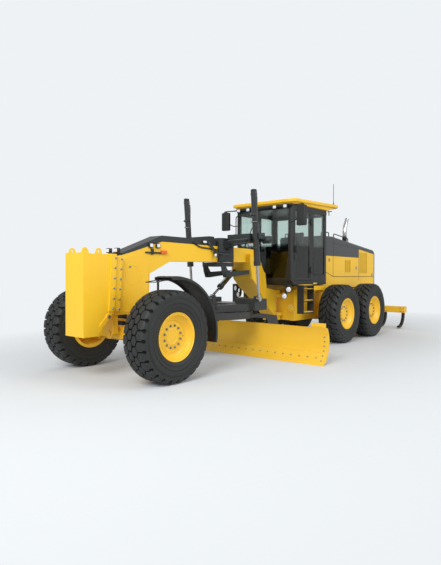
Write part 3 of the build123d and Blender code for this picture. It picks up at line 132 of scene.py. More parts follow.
def emboss(tree, shader, height, strength, distance):
    """Fine relief from a height value; distance in metres."""
    bump = add(tree, "ShaderNodeBump", {"Strength": strength, "Distance": distance}, Height=height)
    tree.links.new(bump.outputs["Normal"], shader.inputs["Normal"])


def sprayed_paint(name, colour, shade, rough, peel_mm=7.0, dust=0.18, coat=0.12, second=None, where=None,
                  seams=None):
    """Sprayed machine enamel: cloudy shade shifts, fine orange peel, small chips, road dust low down.

    second is another colour, on the part of the piece that where picks by its coordinates, and seams
    picks the dark gaps between its panels."""
    mat, tree, shader, place = start_material(name)
    tone = mixed(tree, noise(tree, place, 1.4, 4.0, 0.6), linear(colour), linear(shade))
    parts = add(tree, "ShaderNodeSeparateXYZ", Vector=place)
    if where:
        tone = mixed(tree, where(tree, parts), tone, linear(second))
    if seams:
        tone = mixed(tree, seams(tree, parts), tone, linear("#0F0E0A"))
    low = add(tree, "ShaderNodeMapRange", {"From Min": 1.3, "From Max": 0.0, "To Min": 0.0, "To Max": dust},
              Value=parts.outputs["Z"])
    specks = noise(tree, place, 9.0, 8.0, 0.7)
    tone = mixed(tree, sum_up(tree, "MULTIPLY", low.outputs["Result"], specks), tone, linear("#9A8C72"))
    chipped = sum_up(tree, "GREATER_THAN", noise(tree, place, 55.0, 5.0, 0.75), 0.75)
    tree.links.new(mixed(tree, chipped, tone, linear("#5E574B")), shader.inputs["Base Color"])
    gloss(tree, shader, specks, rough - 0.04, rough + 0.14)
    emboss(tree, shader, noise(tree, place, 1000.0 / peel_mm, 2.0), 0.1, 0.0006)
    shader.inputs["Coat Weight"].default_value = coat
    shader.inputs["Coat Roughness"].default_value = 0.1
    return mat


def hood_split(tree, parts):
    """Where the hood is dark: above a line that steps up behind the rear door seam, and along its rear edge."""
    along, height = parts.outputs["Y"], parts.outputs["Z"]
    behind = sum_up(tree, "GREATER_THAN", along, AXLE_Y + 7.36)
    line = add(tree, "ShaderNodeMapRange", {"To Min": 2.0, "To Max": 2.135}, Value=behind)
    slope = sum_up(tree, "MULTIPLY", sum_up(tree, "SUBTRACT", along, AXLE_Y + 8.3), -0.098)
    lifted = sum_up(tree, "ADD", line.outputs["Result"], sum_up(tree, "MULTIPLY", slope, behind))
    above = sum_up(tree, "GREATER_THAN", height, lifted)
    edge = sum_up(tree, "GREATER_THAN", along, AXLE_Y + 8.352)
    return sum_up(tree, "MAXIMUM", above, edge)


def near(tree, source, centre, half):
    """1 where a value lies within half of a centre, else 0."""
    node = add(tree, "ShaderNodeMath", {"operation": "COMPARE"})
    tree.links.new(source, node.inputs[0])
    node.inputs[1].default_value = centre
    node.inputs[2].default_value = half
    return node.outputs[0]


def hood_seams(tree, parts):
    """Gaps between the hood's panels: straight lines across its side, each from one (y, z) to another."""
    along = sum_up(tree, "SUBTRACT", parts.outputs["Y"], AXLE_Y)
    height = parts.outputs["Z"]
    total = None
    for (y0, z0), (y1, z1), half in (((5.90, 1.503), (8.36, 1.503), 0.007), ((5.40, 1.653), (5.90, 1.503), 0.007),
                                     ((5.88, 2.318), (7.33, 2.233), 0.005),
                                     ((7.33, 2.233), (8.34, 2.135), 0.005)):
        slope = (z1 - z0) / (y1 - y0)
        off = sum_up(tree, "SUBTRACT", height, sum_up(tree, "MULTIPLY", along, slope))
        line = sum_up(tree, "MULTIPLY", near(tree, off, z0 - slope * y0, half),
                      near(tree, along, (y0 + y1) / 2, (y1 - y0) / 2))
        total = line if total is None else sum_up(tree, "MAXIMUM", total, line)
    for y, z0, z1 in ((5.895, 1.503, 2.318), (7.355, 1.40, 2.235)):
        line = sum_up(tree, "MULTIPLY", near(tree, along, y, 0.008),
                      near(tree, height, (z0 + z1) / 2, (z1 - z0) / 2))
        total = sum_up(tree, "MAXIMUM", total, line)
    return total


def grille_painted_shade(tree, parts):
    """Where a grille gets painted shadow: behind the outer faces of its ribs, at the sides and at the rear."""
    across = sum_up(tree, "ABSOLUTE", parts.outputs["X"], 0.0)
    inside = sum_up(tree, "LESS_THAN", across, 0.5865)
    ahead = sum_up(tree, "LESS_THAN", parts.outputs["Y"], AXLE_Y + 8.3865)
    return sum_up(tree, "MULTIPLY", inside, ahead)


def post_top(tree, parts):
    """The part of a knuckle that is black: the fender's post, above the wheel's hub."""
    return sum_up(tree, "GREATER_THAN", parts.outputs["Z"], 0.93)


def moulded_rubber(name, colour, dusty, rough, groove_shade=None):
    """Vulcanised rubber: charcoal, faintly browned by dust, fine matte grain; darker down in a tread, which is
    painted shade at the foot of its grooves.
    """
    mat, tree, shader, place = start_material(name)
    cloud = noise(tree, place, 6.0, 9.0, 0.7)
    tone = mixed(tree, cloud, linear(colour), linear(dusty))
    if groove_shade:
        # painted shade: the rubber runs to a near-black colour towards the foot of the tread's grooves
        crown = add(tree, "ShaderNodeAttribute", {"attribute_name": "tread_height"})
        tone = mixed(tree, crown.outputs["Fac"], linear(groove_shade), tone)
    tree.links.new(tone, shader.inputs["Base Color"])
    gloss(tree, shader, cloud, rough - 0.08, rough + 0.12)
    emboss(tree, shader, noise(tree, place, 240.0, 3.0), 0.2, 0.0012)
    return mat


def moulded_plastic(name, colour, shade, rough=0.45, grain_mm=2.2):
    """Moulded plastic housing: even colour with a leathery grain and slightly varied sheen."""
    mat, tree, shader, place = start_material(name)
    cloud = noise(tree, place, 5.0, 5.0)
    tint(tree, shader, cloud, colour, shade)
    gloss(tree, shader, cloud, rough - 0.06, rough + 0.1)
    grain = add(tree, "ShaderNodeTexVoronoi", {"Scale": 1000.0 / grain_mm}, Vector=place)
    emboss(tree, shader, grain.outputs["Distance"], 0.15, 0.0004)
    return mat


def metal(name, colour, shade, smooth, dull):
    """Bare or plated metal: grey with hazy spots and fine scratches, 8 mm apart, in its gloss."""
    mat, tree, shader, place = start_material(name)
    shader.inputs["Metallic"].default_value = 1.0
    haze = noise(tree, place, 30.0, 7.0, 0.65)
    tint(tree, shader, haze, colour, shade)
    gloss(tree, shader, haze, smooth, dull)
    emboss(tree, shader, noise(tree, place, 125.0, 4.0), 0.05, 0.0004)
    return mat


def risen(tree, place, cloud, sway, low, high):
    """Runs from 0 to 1 between two heights, whose line sways with a noise value."""
    parts = add(tree, "ShaderNodeSeparateXYZ", Vector=place)
    rise = sum_up(tree, "ADD", parts.outputs["Z"], sum_up(tree, "MULTIPLY", cloud, sway))
    return add(tree, "ShaderNodeMapRange", {"From Min": low, "From Max": high}, Value=rise).outputs["Result"]


def exhaust_steel(name):
    """Bright outlet pipe above a dark heat-blued base."""
    mat, tree, shader, place = start_material(name)
    shader.inputs["Metallic"].default_value = 1.0
    hot = risen(tree, place, noise(tree, place, 12.0, 6.0), 0.03, 2.63, 2.66)
    tint(tree, shader, hot, "#2C2B2A", "#C4C5C6")
    gloss(tree, shader, hot, 0.5, 0.16)
    return mat


def tinted_glass(name):
    """Green-tinted safety glass, darker below the waist of the cab as painted shade of the dim lower cab, with a
    faint film of dust in patches.
    """
    mat, tree, shader, place = start_material(name)
    shader.inputs["IOR"].default_value = 1.45
    shader.inputs["Transmission Weight"].default_value = 1.0
    film = noise(tree, place, 3.0, 5.0)
    # painted shade: the glass turns dark below the cab's waist
    tint(tree, shader, risen(tree, place, film, 0.04, 2.16, 2.24), "#4E5553", "#DCE8E3")
    gloss(tree, shader, film, 0.0, 0.05)
    return mat


def lamp_lens(name, colour, shade):
    """Moulded lens with small prisms, 14 mm apart, over a bright reflector."""
    mat, tree, shader, place = start_material(name)
    ribs = add(tree, "ShaderNodeTexVoronoi", {"Scale": 1000.0 / 14.0}, Vector=place).outputs["Distance"]
    tint(tree, shader, ribs, colour, shade)
    emboss(tree, shader, ribs, 0.5, 0.002)
    shader.inputs["Roughness"].default_value = 0.12
    shader.inputs["Coat Weight"].default_value = 1.0
    return mat


def woven_cloth(name, colour, shade):
    """Ribbed seat cloth: cords 6 mm apart, drawn coarser than the real 2 mm so that they show."""
    mat, tree, shader, place = start_material(name)
    cords = add(tree, "ShaderNodeTexWave", {"Scale": 52.0, "Distortion": 0.4, "Detail": 2.0},
                Vector=place).outputs["Fac"]
    fuzz = noise(tree, place, 90.0, 6.0)
    tint(tree, shader, sum_up(tree, "MULTIPLY", cords, fuzz), colour, shade)
    emboss(tree, shader, cords, 0.5, 0.0015)
    shader.inputs["Roughness"].default_value = 0.92
    shader.inputs["Sheen Weight"].default_value = 0.3
    return mat


# Each finish is named for the real one, with what it gives the eye
SUN = ("#F9C92B", "#F2BD20", 0.36)
YELLOW = sprayed_paint("construction_yellow_enamel", *SUN)  # warm, satin gloss, slightly cloudy
# dark above the belt line, with black gaps between its doors
HOOD = sprayed_paint("two_tone_hood_enamel", *SUN, second="#3D4043", where=hood_split, seams=hood_seams)
# painted shade: the louvres are near-black behind the outer faces of their ribs
GRILLE = sprayed_paint("louvre_enamel", *SUN, second="#141109", where=grille_painted_shade)  # ribs over a dark gap
KNUCKLE = sprayed_paint("knuckle_enamel", *SUN, second="#26292A", where=post_top)  # yellow below a black post
GRAPHITE = sprayed_paint("graphite_enamel", "#2C3233", "#24292A", 0.42, coat=0.06)  # satin dark grey
BARREL = sprayed_paint("gloss_black_cylinder_enamel", "#25282A", "#1D2022", 0.2, coat=0.5)  # long highlights
CAB_GREY = sprayed_paint("cab_textured_enamel", "#1E2222", "#181B1C", 0.42, peel_mm=3.0)  # pebbled, dull
BLACK = sprayed_paint("black_powder_coat", "#1A1C1D", "#212425", 0.45, dust=0.25, coat=0.05)  # matt black
# the tyres' near-black groove colour is painted shade in the tread's grooves
RUBBER = moulded_rubber("vulcanised_tyre_rubber", "#191C1C", "#272A29", 0.58, groove_shade="#060707")  # dry, grooved
HOSE = moulded_rubber("braided_hose_rubber", "#151718", "#222425", 0.42)  # near black, soft shine
GUARD = moulded_plastic("moulded_guard_plastic", "#1C1F1F", "#2A2D2D", 0.32, 3.0)  # black, shiny on its ribs
PLASTIC = moulded_plastic("black_abs_housing", "#1B1D1E", "#262829")  # leathery grain
TRIM = moulded_plastic("dark_cab_trim", "#26292B", "#1F2224", 0.55)  # interior panels
CHROME = metal("hard_chrome_plate", "#D5D9DC", "#C2C7CB", 0.08, 0.22)  # mirror grey rods
ZINC = metal("zinc_plated_steel", "#A3ADB8", "#6F7985", 0.25, 0.5)  # bluish bolt heads
IRON = metal("blackened_tool_steel", "#2B2C2D", "#45423E", 0.35, 0.6)  # ripper teeth, dark and scuffed
MIRROR = metal("mirror_glass", "#E4E8EA", "#DDE2E5", 0.03, 0.06)  # silvered
STACK = exhaust_steel("polished_stack_steel")
GLASS = tinted_glass("green_tinted_safety_glass")
LENS = lamp_lens("prismatic_lamp_lens", "#FFFFFF", "#C9D2DB")
AMBER = lamp_lens("amber_marker_lens", "#F2731E", "#D8590E")
RED = lamp_lens("red_tail_lens", "#B8221A", "#8F140F")
YELLOW_LENS = lamp_lens("yellow_reflector_lens", "#F5D13A", "#DDB21F")
CLOTH = woven_cloth("ribbed_seat_cloth", "#25282B", "#3B3F43")
WEBBING = woven_cloth("brown_belt_webbing", "#9A5A22", "#7A431A")

FINISH = (
    # material, CAD nodes that carry it
    (YELLOW, ("front_frame", "push_block", "moldboard", "cutting_edge", "rear_frame", "front_axle", "lean_bar",
              "ripper_frame", "lean_knuckle_left", "lean_knuckle_right", "tandem_cases", "tie_rod",
              "tie_rod_end", "cab_roof") + tuple("rim_" + w[0] for w in WHEELS)),
    (KNUCKLE, ("steer_knuckle_left", "steer_knuckle_right")),
    (HOOD, ("hood",)),
    (GRILLE, ("grilles",)),
    (GRAPHITE, ("beam_cover", "saddle", "drawbar", "circle", "blade_carrier", "engine")),
    (BARREL, ("lift_barrel_left", "lift_barrel_right", "shift_barrel", "ripper_barrel")),
    (CAB_GREY, ("cab_shell", "door_left", "door_right")),
    (TRIM, ("console",)),
    (GUARD, ("fender_left", "fender_right")),
    (PLASTIC, ("mirrors_and_aerial", "front_lamps", "work_lamps")),
    (BLACK, ("ladders_and_rails",)),
    (CLOTH, ("seat",)),
    (GLASS, ("cab_glass", "door_glass_left", "door_glass_right")),
    (CHROME, ("lift_rod_left", "lift_rod_right", "shift_rod", "ripper_rod")),
    (STACK, ("exhaust_stack",)),
    (IRON, ("ripper_shanks",)),
    (RUBBER, tuple("tyre_" + w[0] for w in WHEELS)),
)
for material, names in FINISH:
    for name in names:
        for holder in NODES[name].material_slots:
            holder.material = material


def grid(points, round_trip=False):
    """Shape from a rows x columns x 3 grid of points; with round_trip, the last column joins the first."""
    rows, cols = points.shape[:2]
    index = np.arange(rows * cols).reshape(rows, cols)
    if round_trip:
        index = np.hstack([index, index[:, :1]])
    faces = np.stack([index[:-1, :-1], index[:-1, 1:], index[1:, 1:], index[1:, :-1]], -1)
    return points.reshape(-1, 3), faces.reshape(-1, 4).tolist()


def capped(points):
    """Closed shape from rings of points: quads between the rings and one face over each end ring."""
    rows, cols = points.shape[:2]
    flat, faces = grid(points, round_trip=True)
    last = (rows - 1) * cols
    return flat, faces + [list(range(cols))[::-1], [last + i for i in range(cols)]]


def joined(*shapes):
    """One shape from several."""
    points, faces, count = [], [], 0
    for part, part_faces in shapes:
        points.append(part)
        faces += [[count + i for i in face] for face in part_faces]
        count += len(part)
    return np.vstack(points), faces


def mirrored(shape):
    """Shape on the machine's other side: X negated, faces turned back."""
    return shape[0] * (-1, 1, 1), [face[::-1] for face in shape[1]]


def both(shape):
    """Shape together with its mirror image."""
    return joined(shape, mirrored(shape))


def sided(shape):
    """Shape for the left side and its mirror image for the right, as (side, shape) pairs."""
    return ("left", shape), ("right", mirrored(shape))


def moved(shape, offset):
    """Shape shifted by an offset."""
    return shape[0] + np.array(offset), shape[1]


def facing(shape, direction):
    """Shape drawn along +Z, turned so that its Z points along a direction: the columns are two normals and it."""
    z = np.array(direction, float) / np.linalg.norm(direction)
    x = np.cross((0, 0, 1) if abs(z[2]) < 0.9 else (0, 1, 0), z)
    x /= np.linalg.norm(x)
    return shape[0] @ np.array([x, np.cross(z, x), z]), shape[1]


def lathe(profile, turns):
    """Closed shape about Z: each (radius, height) of the profile is turned through the circle."""
    angle = np.linspace(0, 2 * np.pi, turns, endpoint=False)
    radius, height = np.array(profile, float).T
    points = np.stack([radius[:, None] * np.cos(angle), radius[:, None] * np.sin(angle),
                       np.broadcast_to(height[:, None], (len(radius), turns))], -1)
    return capped(points)


def hoop(profile, turns):
    """Closed ring about X: a closed (across, radius) section is turned through the circle."""
    angle = np.linspace(0, 2 * np.pi, turns, endpoint=False)
    across, radius = np.array(profile, float).T
    points = np.stack([np.broadcast_to(across, (turns, len(across))), np.cos(angle)[:, None] * radius,
                       np.sin(angle)[:, None] * radius], -1)
    points = np.concatenate([points, points[:1]])
    flat, faces = grid(points, round_trip=True)
    count = turns * len(across)
    return flat[:count], [[i % count for i in face] for face in faces]


def collar(profile):
    """Closed ring about Z from its (radius, height) section: a hoop with its X and Z exchanged."""
    points, faces = hoop([(height, radius) for radius, height in profile], 40)
    return points[:, ::-1], faces


def rounded_block(low, high, edge, axis=2):
    """Box with rounded edges: a round-cornered outline is carried along an axis and drawn in at both ends."""
    steps = 3
    low, high = np.array(low, float), np.array(high, float)
    order = [i for i in range(3) if i != axis] + [axis]
    half = (high - low)[order] / 2
    edge = min(edge, *(half * 0.98))
    turn = np.linspace(0, np.pi / 2, steps + 1)
    inset = edge * (1 - np.sin(turn))
    level = half[2] - edge * (1 - np.cos(turn))
    rings_in = np.concatenate([inset, inset[::-1]])
    rings_up = np.concatenate([-level, level[::-1]])
    corner = (np.arange(4)[:, None] * np.pi / 2 + turn).ravel()
    sign = np.repeat(np.array([(1, 1), (-1, 1), (-1, -1), (1, -1)]), steps + 1, axis=0)
    base = (half[:2] - edge) * sign
    reach = (edge - rings_in)[:, None, None] * np.stack([np.cos(corner), np.sin(corner)], -1)
    flat = base + reach
    points = np.concatenate([flat, np.broadcast_to(rings_up[:, None, None], (*flat.shape[:2], 1))], -1)
    back = np.empty_like(points)
    back[..., order] = points
    return moved(capped(back), (low + high) / 2)


def bent(points, reach, steps=5):
    """Path whose inner corners are rounded: each is a quadratic curve between points a reach away from it."""
    points = np.array(points, float)
    t = np.linspace(0, 1, steps)[:, None]
    path = [points[:1]]
    for before, corner, after in zip(points, points[1:], points[2:]):
        a = corner + (before - corner) * min(0.5, reach / np.linalg.norm(before - corner))
        b = corner + (after - corner) * min(0.5, reach / np.linalg.norm(after - corner))
        path.append((1 - t) ** 2 * a + 2 * t * (1 - t) * corner + t ** 2 * b)
    return np.vstack(path + [points[-1:]])


def swept(path, radius, sides, flat=1.0):
    """Tube along a path: a ring of the radius stands across each point's direction, flattened by a share."""
    path = np.array(path, float)
    ahead = np.gradient(path, axis=0)
    ahead /= np.linalg.norm(ahead, axis=1)[:, None]
    guide = np.eye(3)[np.argmin(np.abs(ahead).max(axis=0))]
    side = np.cross(ahead, guide)
    side /= np.linalg.norm(side, axis=1)[:, None]
    up = np.cross(side, ahead)
    angle = np.linspace(0, 2 * np.pi, sides, endpoint=False)[:, None]
    rings = path[:, None] + radius * (np.cos(angle) * side[:, None] + flat * np.sin(angle) * up[:, None])
    return capped(rings)


def bolt_heads(spots, direction, across, height, washer=0.0):
    """Hexagon heads with a chamfered top, one at each spot, all facing one direction."""
    r = across / 1.732
    step = np.array([(r, -0.004), (r, height * 0.75), (r * 0.82, height)])
    angle = np.arange(6) * np.pi / 3
    rings = np.stack([step[:, :1] * np.cos(angle), step[:, :1] * np.sin(angle),
                      np.broadcast_to(step[:, 1:], (3, 6))], -1)
    head = capped(rings)
    if washer:
        head = joined(head, lathe([(washer, -0.004), (washer, 0.003), (washer - 0.002, 0.005)], 16))
    head = facing(head, direction)
    return joined(*[moved(head, spot) for spot in spots])


def around(count, radius, start=0.0):
    """Spots evenly round a circle about the origin: two rows, radius times cosine and sine."""
    angle = np.arange(count) * 2 * np.pi / count + start
    return radius * np.cos(angle), radius * np.sin(angle)


def placed(name, data):
    """New object for a mesh, curve, lamp or camera, linked into the scene."""
    made = bpy.data.objects.new(name, data)
    bpy.context.collection.objects.link(made)
    return made


def places_of(mesh):
    """Places of a mesh's points, one a row."""
    places = np.empty(len(mesh.vertices) * 3)
    mesh.vertices.foreach_get("co", places)
    return places.reshape(-1, 3)


def piece(name, shape, material, body, stands_for=(), crease=35.0):
    """Mesh object from a shape, with outward normals and smooth faces up to a crease angle, on a body."""
    points, faces = shape
    mesh = bpy.data.meshes.new(name)
    mesh.from_pydata((points + np.array([0, AXLE_Y, 0])).tolist(), [], faces)
    work = bmesh.new()
    work.from_mesh(mesh)
    bmesh.ops.recalc_face_normals(work, faces=work.faces)
    work.to_mesh(mesh)
    work.free()
    mesh.polygons.foreach_set("use_smooth", np.ones(len(mesh.polygons), bool))
    mesh.set_sharp_from_angle(angle=math.radians(crease))
    mesh.materials.append(material)
    made = placed(name, mesh)
    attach(made, body)
    if stands_for:
        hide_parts(*stands_for)
    return made


# Tyre section, half of it: across and radius, along the foot of the tread and along its top
TREAD_FOOT = np.array([(0.0, 0.6330), (0.060, 0.6325), (0.120, 0.6300), (0.155, 0.6240), (0.174, 0.6080),
                       (0.182, 0.5940), (0.190, 0.5820), (0.203, 0.5720), (0.2165, 0.5660)])
TREAD_TOP = np.array([(0.0, 0.6648), (0.060, 0.6643), (0.120, 0.6625), (0.160, 0.6590), (0.184, 0.6520),
                      (0.197, 0.6430), (0.206, 0.6300), (0.214, 0.6110), (0.2190, 0.5910)])
TREAD_WAY = np.array([0.0, 0.060, 0.120, 0.160, 0.185, 0.200, 0.215, 0.235, 0.255])
SIDEWALL = ((0.2190, 0.562), (0.2200, 0.556), (0.2150, 0.552), (0.2150, 0.545), (0.2212, 0.541), (0.2222, 0.520),
            (0.2215, 0.492), (0.2205, 0.480), (0.2140, 0.476), (0.2140, 0.464), (0.2192, 0.460), (0.2185, 0.450),
            (0.2155, 0.432), (0.2120, 0.420), (0.2060, 0.416), (0.2060, 0.405), (0.2110, 0.401), (0.2040, 0.388),
            (0.1960, 0.372), (0.1930, 0.362), (0.1868, 0.355), (0.1866, 0.3180))
TREADS = {
    # axle: blocks round the tyre, slant of the centre rows and of the shoulder rows (along per across), groove
    "front": (28, 0.0, 0.0, 0.018),
    "rear": (26, 1.0, 0.55, 0.028),
}


def tread_row(row, pitches, slant, groove):
    """One row of tread blocks, repeated once a pitch round the tyre.

    row is a block's middle, inner end and outer end across the tread. Its half-width is half a pitch
    less half a groove, and tapers towards both ends, which leaves zigzag grooves. A shoulder block
    keeps its width, narrows beside a round pocket and closes again on the sidewall. Each point lies a
    share of the way from the tread's foot to its top, and slant shears the block along the tyre."""
    middle, inner, outer = row
    pitch = 2 * np.pi * TYRE_RADIUS / pitches
    rise = 0.005  # width of a block's bevel
    reach, taper = 0.056, 0.032  # half a block's length across the tyre, and the part of it that narrows
    pocket_way, pocket_length, pocket_depth = 0.212, 0.031, 0.027
    shoulder = outer > 0.2
    way = np.concatenate([[inner - rise, inner], np.linspace(inner + rise, outer - rise, 19 if shoulder else 9),
                          [outer, outer + rise]])
    tall_way = np.concatenate([[-0.25, 0.82], np.ones(len(way) - 4), [0.82, -0.25]])
    half = 0.5 * pitch * np.clip((reach - np.abs(way - middle)) / taper, 0.12, 1.0) - 0.5 * groove
    if shoulder:
        pocket = pocket_depth * np.sqrt(np.clip(1 - ((way - pocket_way) / pocket_length) ** 2, 0, 1))
        gap = np.maximum(pocket, np.where(way < pocket_way, 0.5 * groove, 0.0))
        half = np.where(way > middle, 0.5 * pitch - gap, half)
    columns = np.array([-1, -1, -1, -0.33, 0.33, 1, 1, 1])
    step = np.array([-rise, 0, rise, 0, 0, -rise, 0, rise])
    tall = np.array([-0.25, 0.82, 1, 1, 1, 1, 0.82, -0.25])
    along = half[:, None] * columns + step + slant * (way - middle)[:, None]
    share = np.minimum(tall_way[:, None], tall)
    foot = np.stack([np.interp(way, TREAD_WAY, TREAD_FOOT[:, i]) for i in (0, 1)], -1)
    top = np.stack([np.interp(way, TREAD_WAY, TREAD_TOP[:, i]) for i in (0, 1)], -1)
    spot = foot[:, None] + share[..., None] * (top - foot)[:, None]
    angle = (np.arange(pitches)[:, None, None] * pitch + along) / TYRE_RADIUS
    across = np.broadcast_to(spot[..., 0], angle.shape)
    points = np.stack([across, np.cos(angle) * spot[..., 1], np.sin(angle) * spot[..., 1]], -1)
    return joined(*[grid(block) for block in points])


def rolled(shape, angle):
    """Shape turned about the X axis."""
    c, s = math.cos(angle), math.sin(angle)
    return shape[0] @ np.array([(1, 0, 0), (0, c, s), (0, -s, c)]), shape[1]


def tyre(axle):
    """Carcass ring with sidewall ridges, and four staggered rows of tread blocks, about the X axis."""
    pitches, slant, shoulder_slant, groove = TREADS[axle]
    half = [tuple(p) for p in TREAD_FOOT] + list(SIDEWALL)
    section = half + [(-x, r) for x, r in half[:0:-1]]
    step = np.pi / pitches
    left = joined(tread_row((0.045, -0.010, 0.100), pitches, slant, groove),
                  rolled(tread_row((0.135, 0.080, 0.250), pitches, shoulder_slant, groove), step))
    return joined(hoop(section, 168), left, rolled(mirrored(left), step))


# Rim section: radius and distance outwards from the wheel's middle, from the hub's centre over the
# disc, the well and the outer flange, and back along the inner side to the hub
RIM = ((0.020, 0.1035), (0.055, 0.1025), (0.080, 0.0985), (0.087, 0.1030), (0.112, 0.1030), (0.118, 0.0985),
       (0.125, 0.0955), (0.223, 0.0955), (0.226, 0.0925), (0.229, 0.0955), (0.233, 0.1060), (0.241, 0.1068),
       (0.247, 0.1025), (0.256, 0.1080), (0.272, 0.1210), (0.290, 0.1390), (0.305, 0.1560), (0.318, 0.1720),
       (0.328, 0.1830), (0.335, 0.1885), (0.339, 0.1925), (0.341, 0.1980), (0.345, 0.2000), (0.3495, 0.1970),
       (0.350, 0.1880), (0.337, 0.1870), (0.3178, 0.1866), (0.3178, -0.1866), (0.350, -0.1870), (0.350, -0.2000),
       (0.303, -0.2000), (0.303, 0.1220), (0.290, 0.1250), (0.272, 0.1070), (0.256, 0.0940), (0.240, 0.0850),
       (0.226, 0.0800), (0.130, 0.0800), (0.118, 0.0780), (0.118, -0.0600), (0.0605, -0.0600), (0.0605, 0.0800),
       (0.020, 0.0800))


def on_wheels(shape, rear_shape=None):
    """The shape about X at each wheel: (name, shape) pairs, mirrored on the right; the rear may differ."""
    out = []
    for name, side, y in WHEELS:
        part = rear_shape if rear_shape and y else shape
        part = part if side > 0 else mirrored(part)
        out.append((name, moved(part, (side * WHEEL_X, y, TYRE_RADIUS))))
    return out


def tread_height(made, centre_y):
    """Point attribute of a tyre: 0 at the foot of its grooves, 1 on the blocks and on the sidewalls; it places the
    rubber's painted groove shade.
    """
    x, y, z = places_of(made.data).T
    radius = np.hypot(y - AXLE_Y - centre_y, z - TYRE_RADIUS)
    foot = np.interp(np.abs(np.abs(x) - WHEEL_X), TREAD_FOOT[:, 0], TREAD_FOOT[:, 1])
    height = np.where(radius > 0.5655, (radius - foot) / 0.020, 1.0)
    made.data.attributes.new("tread_height", "FLOAT", "POINT").data.foreach_set("value", np.clip(height, 0, 1))


def wheel_pieces():
    """Tyres, rims with their wells, wheel nuts and valves of the six wheels."""
    for (name, shape), wheel in zip(on_wheels(tyre("front"), tyre("rear")), WHEELS):
        made = piece("tread_tyre_" + name, shape, RUBBER, "wheel_" + name, ("tyre_" + name,))
        tread_height(made, wheel[2])
    for name, shape in on_wheels(facing(lathe(RIM, 72), (1, 0, 0))):
        piece("dished_rim_" + name, shape, YELLOW, "wheel_" + name, ("rim_" + name,), 30.0)
    spots = np.stack([np.full(12, 0.0957), *around(12, 0.160, 0.26)], -1)
    nuts = bolt_heads(spots, (1, 0, 0), 0.028, 0.022, washer=0.018)
    valve = swept(bent([(0.085, 0.205, 0.0), (0.100, 0.207, 0.0), (0.108, 0.214, 0.0)], 0.01), 0.005, 8)
    for name, shape in on_wheels(nuts):
        piece("wheel_nuts_" + name, shape, ZINC, "wheel_" + name)
    for name, shape in on_wheels(valve):
        piece("valve_stem_" + name, shape, ZINC, "wheel_" + name)


def fender_pieces():
    """Guards over the front wheels: a channel section turned about the wheel's axis, with their carriers.

    The section is a list of (across, radius) points; the guard runs from below the axle's height at the
    rear to just ahead of the wheel's top, and tapers in over its last few degrees."""
    section = np.array([(0.846, 0.808), (0.840, 0.812), (0.840, 0.842), (0.846, 0.849), (0.896, 0.850),
                        (0.902, 0.859), (0.922, 0.859), (0.928, 0.850), (1.030, 0.850), (1.036, 0.859),
                        (1.056, 0.859), (1.062, 0.850), (1.166, 0.850), (1.172, 0.859), (1.192, 0.859),
                        (1.198, 0.850), (1.242, 0.849), (1.249, 0.842), (1.2495, 0.808), (1.243, 0.806),
                        (1.238, 0.834), (1.228, 0.841), (0.860, 0.841), (0.852, 0.834)])
    angle = np.radians(np.linspace(-11, 97, 49))
    middle = 1.045
    draw = 1 - 0.10 * np.clip((angle - np.radians(88)) / np.radians(9), 0, 1) ** 2
    across = middle + (section[:, 0] - middle) * draw[:, None]
    radius = np.broadcast_to(section[:, 1], across.shape)
    guard = np.stack([across, radius * np.cos(angle)[:, None], TYRE_RADIUS + radius * np.sin(angle)[:, None]], -1)
    shape = capped(guard)
    carrier = swept([(0.748, 0.05, 1.470), (1.200, 0.05, 1.470)], 0.016, 12)
    cuff = moved(lathe([(0.026, 1.4405), (0.026, 1.492), (0.020, 1.498)], 20), (0.765, 0.05, 0.0))
    posts = [swept([(x, 0.05, 1.465), (x, 0.05, 1.507)], 0.016, 12) for x in (0.900, 1.100)]
    brace = swept(bent([(1.12, 0.05, 1.478), (1.12, -0.16, 1.462), (1.08, -0.24, 1.440), (0.84, -0.26, 1.436),
                        (0.80, -0.20, 1.438), (0.79, 0.05, 1.470)], 0.05), 0.0065, 8)
    angle = np.radians(np.array([2.0, 2.0, 14.0, 14.0, 40.0, 40.0, 66.0, 66.0]))
    spots = np.stack([np.tile([0.975, 1.115], 4), 0.850 * np.cos(angle), TYRE_RADIUS + 0.850 * np.sin(angle)], -1)
    heads = [moved(facing(lathe([(0.013, -0.002), (0.013, 0.004), (0.007, 0.008)], 12),
                          (0, math.cos(a), math.sin(a))), spot) for a, spot in zip(angle, spots)]
    for side, part in sided(joined(shape, carrier, cuff, *posts)):
        piece("ribbed_guard_" + side, part, GUARD, "steer_knuckle_" + side, ("fender_" + side,))
    for side, part in sided(brace):
        piece("guard_brace_" + side, part, PLASTIC, "steer_knuckle_" + side)
    for side, part in sided(joined(*heads)):
        piece("guard_bolts_" + side, part, ZINC, "steer_knuckle_" + side)


def lamp(name, low, high, axis, sign, body, lens=LENS):
    """Box lamp: black housing and a crowned lens on the face along one axis."""
    low, high = np.array(low, float), np.array(high, float)
    face = high[axis] if sign > 0 else low[axis]
    body_low, body_high = low.copy(), high.copy()
    (body_high if sign > 0 else body_low)[axis] -= sign * 0.006
    shell = rounded_block(body_low, body_high, 0.010, axis)
    frame_w = 0.16 * min(high[(axis + 1) % 3] - low[(axis + 1) % 3], high[(axis + 2) % 3] - low[(axis + 2) % 3])
    glass_low, glass_high = low + frame_w, high - frame_w
    glass_low[axis] = min(face, face - sign * 0.012)
    glass_high[axis] = max(face, face - sign * 0.012)
    piece(name, shell, PLASTIC, body)
    piece(name + "_lens", rounded_block(glass_low, glass_high, 0.004, axis), lens, body)


def lamp_pairs(body, rows):
    """Lamps on both sides from rows of name, corners on the left, axis, sign on the left and lens."""
    for name, low, high, axis, sign, lens in rows:
        for side, turn in (("left", 1), ("right", -1)):
            x = sorted((turn * low[0], turn * high[0]))
            lamp(name.format(side), (x[0], *low[1:]), (x[1], *high[1:]), axis, sign if axis else turn, body, lens)


